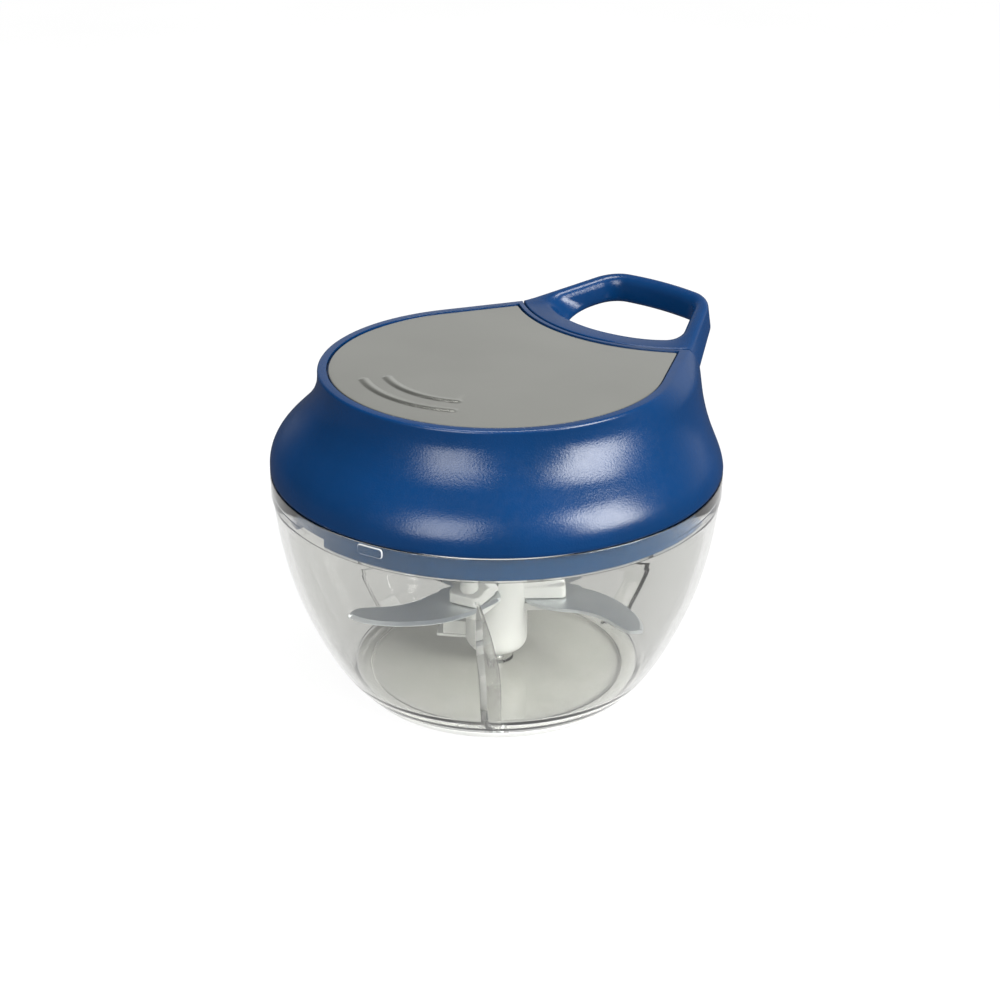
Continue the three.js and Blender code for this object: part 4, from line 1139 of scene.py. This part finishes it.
def arc_points(centre, radius, first, last, steps=16):
    """Points of an arc, each with its normal."""
    out = []
    for i in range(steps + 1):
        normal = polar(1, first + (last - first) * i / steps)
        out.append(((centre[0] + radius * normal[0], centre[1] + radius * normal[1]), normal))
    return out


def line_points(a, b, normal, steps):
    """The points between a and b, each with the line's normal."""
    shares = [i / steps for i in range(1, steps)]
    return [((a[0] + (b[0] - a[0]) * share, a[1] + (b[1] - a[1]) * share), normal) for share in shares]


def end_corner(end, distance, corner):
    x = end - corner
    return arc_points((x, side_at(distance - corner, x)), corner, HANDLE_SIDE_DEGREES, END_DEGREES)


def depth_share(height):
    """0 at the handle's top and 1 at its underside."""
    return min(max((LID_TOP - height) / HANDLE_THICKNESS, 0), 1)


def handle_half(_height):
    """One half of the handle's outline, which is the same at every height."""
    start = JOINT_CENTRE - JOINT_RADIUS - HANDLE_GAP - OVERRUN
    corner = end_corner(HANDLE_END, HANDLE_SIDE, HANDLE_CORNER)
    root = ((start, side_at(HANDLE_SIDE, start)), SIDE_NORMAL)
    return [root, *line_points(root[0], corner[0][0], SIDE_NORMAL, steps=16), *corner]


def opening_half(height):
    """One half of the finger opening's outline; its root is drafted and rounder below."""
    distance = HANDLE_SIDE - OPENING_INSET
    radius = OPENING_RADIUS - OPENING_DRAFT * depth_share(height)
    start = JOINT_CENTRE - radius
    widest = OPENING_ROUND_SHARE * (distance - start * SIDE_NORMAL[0]) / (1 + SIDE_NORMAL[0])
    round_corner = OPENING_TOP_CORNER + (widest - OPENING_TOP_CORNER) * depth_share(height)
    x, y = side_meets_arc(distance - round_corner, HANDLE_SIDE_DEGREES, radius - round_corner)
    turn = math.degrees(math.atan2(y, x - JOINT_CENTRE))
    root = arc_points((x, y), round_corner, turn, HANDLE_SIDE_DEGREES, steps=24)
    corner = end_corner(OPENING_END, distance, OPENING_CORNER)
    return [*arc_points((JOINT_CENTRE, 0), radius, 180, turn), *root[1:],
            *line_points(root[-1][0], corner[0][0], SIDE_NORMAL, steps=6), *corner]


def handle_loft(name, levels, half_at, end):
    """A body through half outlines, grown by one amount at the root and by another at the end."""
    rings = []
    for height, root_grow, end_grow in levels:
        def grow_at(x):
            share = min(max((x - HANDLE_RISE_START) / (end - HANDLE_RISE_START), 0), 1)
            return root_grow + (end_grow - root_grow) * share
        points = [(x + n[0] * grow_at(x), y + n[1] * grow_at(x)) for (x, y), n in half_at(height)]
        last = points[-1]
        crown = (end + END_ARCH + grow_at(end), 0)
        shares = [step / ARCH_STEPS for step in range(ARCH_STEPS - 1, 0, -1)]
        arch = [(crown[0] + (last[0] - crown[0]) * share ** 2, last[1] * share) for share in shares]
        side = points + arch
        mirrored = [(x, -y) for x, y in reversed(side) if y > TINY]
        rings.append([(x, y, height) for x, y in [*side, crown, *mirrored]])
    return loft(name, rings)


def rise(x):
    past = max(x - HANDLE_RISE_START, 0)
    blended = min(past, HANDLE_RISE_BLEND)
    return HANDLE_SLOPE * (blended ** 2 / (2 * HANDLE_RISE_BLEND) + past - blended)


def bent(obj):
    """Bends the handle upwards towards its end, the underside a little less than the top."""
    for vertex in obj.data.vertices:
        x, z = vertex.co.x / MM, vertex.co.z / MM
        vertex.co.z += rise(x) * (1 + (HANDLE_UNDER_SHARE - 1) * depth_share(z)) * MM
    return obj


def rounding_levels(bottom, top, radius):
    """Heights and shrink of quarter-round edges at the bottom and the top."""
    quarter = quarter_round(radius, EDGE_TURNS)
    low = [(bottom + radius - up, shrink) for up, shrink in reversed(quarter)]
    return low + [(top - radius + up, shrink) for up, shrink in quarter]


def make_handle(material):
    bottom = LID_TOP - HANDLE_THICKNESS
    outside_levels = []
    for height, shrink in rounding_levels(bottom, LID_TOP, HANDLE_ROUNDING):
        root, end = (flare * depth_share(height) - shrink for flare in (HANDLE_ROOT_FLARE, HANDLE_END_FLARE))
        outside_levels.append((height, root, end))
    soft = OPENING_ROUNDING
    opening_levels = [(bottom - OVERRUN, soft, soft)]
    opening_levels += [(h, s, s) for h, s in rounding_levels(bottom, LID_TOP, soft)]
    opening_levels.append((LID_TOP + OVERRUN, soft, soft))
    handle = handle_loft("handle", outside_levels, handle_half, HANDLE_END)
    near_radius, low, high = JOINT_RADIUS - HANDLE_GAP, bottom - SKIN, LID_TOP + SKIN
    near_profile = [(0, low), (near_radius, low, EDGE_SOFT), (near_radius, high, EDGE_SOFT), (0, high)]
    near = lathe("near", fillet(near_profile), segments=360)
    keep(handle, moved(near, (JOINT_CENTRE, 0, 0)))
    cut(handle, handle_loft("opening", opening_levels, opening_half, OPENING_END))
    hole = cylinder("hole", EYELET_BORE, 0, KNOT_CENTRE - EYELET_START, segments=32)
    pocket_reach = JOINT_CENTRE - OPENING_RADIUS + OVERRUN - POCKET_START
    pocket = cylinder("pocket", POCKET_RADIUS, 0, pocket_reach, segments=40)
    cut(handle, along_cord(hole, EYELET_START), along_cord(pocket, POCKET_START))
    place(bent(handle), material, "handle", "blue_plastic", "pull_handle")


# Cord
def tube(name, path, radius, sides=16):
    """A round tube along a path of points."""
    points = [Vector(p) for p in path]
    up = Vector((0, 0, 1))
    rings = []
    for i, p in enumerate(points):
        tangent = (points[min(i + 1, len(points) - 1)] - points[max(i - 1, 0)]).normalized()
        side = tangent.cross(up).normalized()
        other = side.cross(tangent)
        turns = [polar(radius, 360 * k / sides) for k in range(sides)]
        rings.append([p + x * side + y * other for x, y in turns])
    return loft(name, rings)


def cord_route():
    """The winding's radius and top, and where the cord leaves it, turns to the eyelet and heads for."""
    wind = DRUM_RADIUS + CORD_GAP + CORD_RADIUS
    top = REEL_TOP - REEL_FLANGE - CORD_RADIUS - CORD_GAP
    leave_degrees = -math.degrees(math.acos(wind / EYELET_START))
    leave = Vector((*polar(wind, leave_degrees), top))
    turn = Vector((EYELET_START - CORD_PITCH, 0, CORD_HEIGHT))
    level = (Vector((turn.x, turn.y, top)) - leave).normalized()
    return wind, top, leave_degrees, leave, turn, level


def reach_to(radius, wind):
    return math.sqrt(radius ** 2 - wind ** 2)


def make_wound_cord(material):
    wind, top, leave_degrees, leave, _, level = cord_route()
    lead = level * reach_to(REEL_RADIUS - CORD_RADIUS, wind)
    straight = [leave + lead * (1 - i / CORD_STEPS) for i in range(CORD_STEPS)]
    steps = int(CORD_TURNS * COIL_STEPS)
    turns = [CORD_TURNS * i / steps for i in range(steps + 1)]
    coil = [(*polar(wind, leave_degrees - 360 * turn), top - CORD_PITCH * turn) for turn in turns]
    cord = tube("wound_cord_weave", straight + coil, CORD_RADIUS)
    place(cord, material, "reel", "cord", "wound_cord")


def on_cord_line(start, end, count):
    return [Vector((x, 0, CORD_HEIGHT)) for x in np.linspace(start, end, count)]


def make_pull_cord(material):
    """The cord from the reel to the knot, from its start at the lid to its end at the handle, baked in place on
    no body.
    """
    wind, _, _, leave, turn, level = cord_route()
    start = leave + level * (reach_to(REEL_RADIUS - CORD_RADIUS + FIT, wind) + RUN_START_GAP)
    lift = leave + level * reach_to(REEL_RADIUS + 2 * CORD_RADIUS, wind)
    bend_in = turn - (turn - lift).normalized() * CORD_PITCH
    bend_out = turn + Vector((CORD_PITCH, 0, 0))
    joint = JOINT_CENTRE - JOINT_RADIUS
    joint_end = joint + HANDLE_GAP
    path = [start] + [lift + (bend_in - lift) * i / CORD_STEPS for i in range(CORD_STEPS)]
    for t in np.linspace(0, 1, CORD_STEPS):
        path.append((1 - t) ** 2 * bend_in + 2 * t * (1 - t) * turn + t ** 2 * bend_out)
    path += on_cord_line(bend_out.x + RUN_BEND_GAP, joint - BLEND_GAPS[0], CORD_STEPS)
    path += on_cord_line(joint, joint_end, BLEND_STEPS)
    path += on_cord_line(joint_end + BLEND_GAPS[1], KNOT_CENTRE - KNOT_RADIUS * KNOT_REACH_SHARE, 4)
    cord = tube("pull_cord", path, CORD_RADIUS)
    polish(cord, SMOOTH)
    cord.data.materials.append(material)
    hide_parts("cord_run", "cord_stub")
    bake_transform(cord)


def make_knot(material):
    """A small stopper knot: two crossing turns of the same cord, drawn tight."""
    path = []
    for i in range(KNOT_POINTS):
        t = 2 * math.pi * i / (KNOT_POINTS - 1) * KNOT_CLOSED_SHARE
        y, z = polar(KNOT_COIL * (1 + KNOT_WAVE * math.cos(2 * t)), math.degrees(2 * t))
        path.append((KNOT_CENTRE + KNOT_WAVE * math.sin(3 * t), y, CORD_HEIGHT + z))
    knot = tube("cord_knot_weave", path, KNOT_CORD, sides=12)
    place(knot, material, "handle", "cord", "cord_knot")


def make_eyelet(material):
    length = JOINT_CENTRE - JOINT_RADIUS - EYELET_INSET - EYELET_START
    profile = fillet([
        (EYELET_BORE, 0, EDGE_CRISP), (EYELET_RADIUS, 0, EYELET_EDGE),
        (EYELET_RADIUS, length, EYELET_EDGE), (EYELET_BORE, length, EDGE_SMALL),
    ])
    eyelet = along_cord(lathe("eyelet", profile, segments=64), EYELET_START)
    place(eyelet, material, "lid", "dark_plastic", "cord_eyelet")


def finish_node(name, material):
    """A node whose own shape is right keeps it, and gets a finish."""
    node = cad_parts[name]
    node.data.materials.clear()
    node.data.materials.append(material)


make_camera()
make_lights()
make_floor()
blue = blue_plastic("blue_plastic", linear(1, 36, 72), linear(1, 39, 78))
# A lighter copy of the blue plastic for the lid's floor and skirt: painted light, so that they show brighter
# through the bowl's rim than the lid.
lightened_blue = blue_plastic("lightened_blue", linear(6, 54, 90), linear(7, 57, 96))
clear = clear_plastic()
white = white_plastic()
steel = blade_steel()
dark = dark_plastic()
weave = cord_weave()
make_bowl(clear, lightened_fin_plastic(), painted_pad_highlight())
make_foot(foot_rubber())
make_pin(steel)
make_shaft(white)
for blade_index in range(len(BLADE_HEIGHTS)):
    make_blade(blade_index, steel)
make_lid(blue)
make_plate(satin_steel())
make_lid_base(lightened_blue)
make_handle(blue)
make_eyelet(dark)
make_wound_cord(weave)
make_pull_cord(weave)
make_knot(weave)
screws = [f"lid_screw_{screw}" for screw in range(1, BOSS_COUNT + 1)]
for node_name in (*screws, "recoil_spring", "clutch_pawl_1", "clutch_pawl_2"):
    finish_node(node_name, steel)
for node_name in ("reel_case", "drive_hub"):
    finish_node(node_name, dark)
finish_node("cord_reel", white)
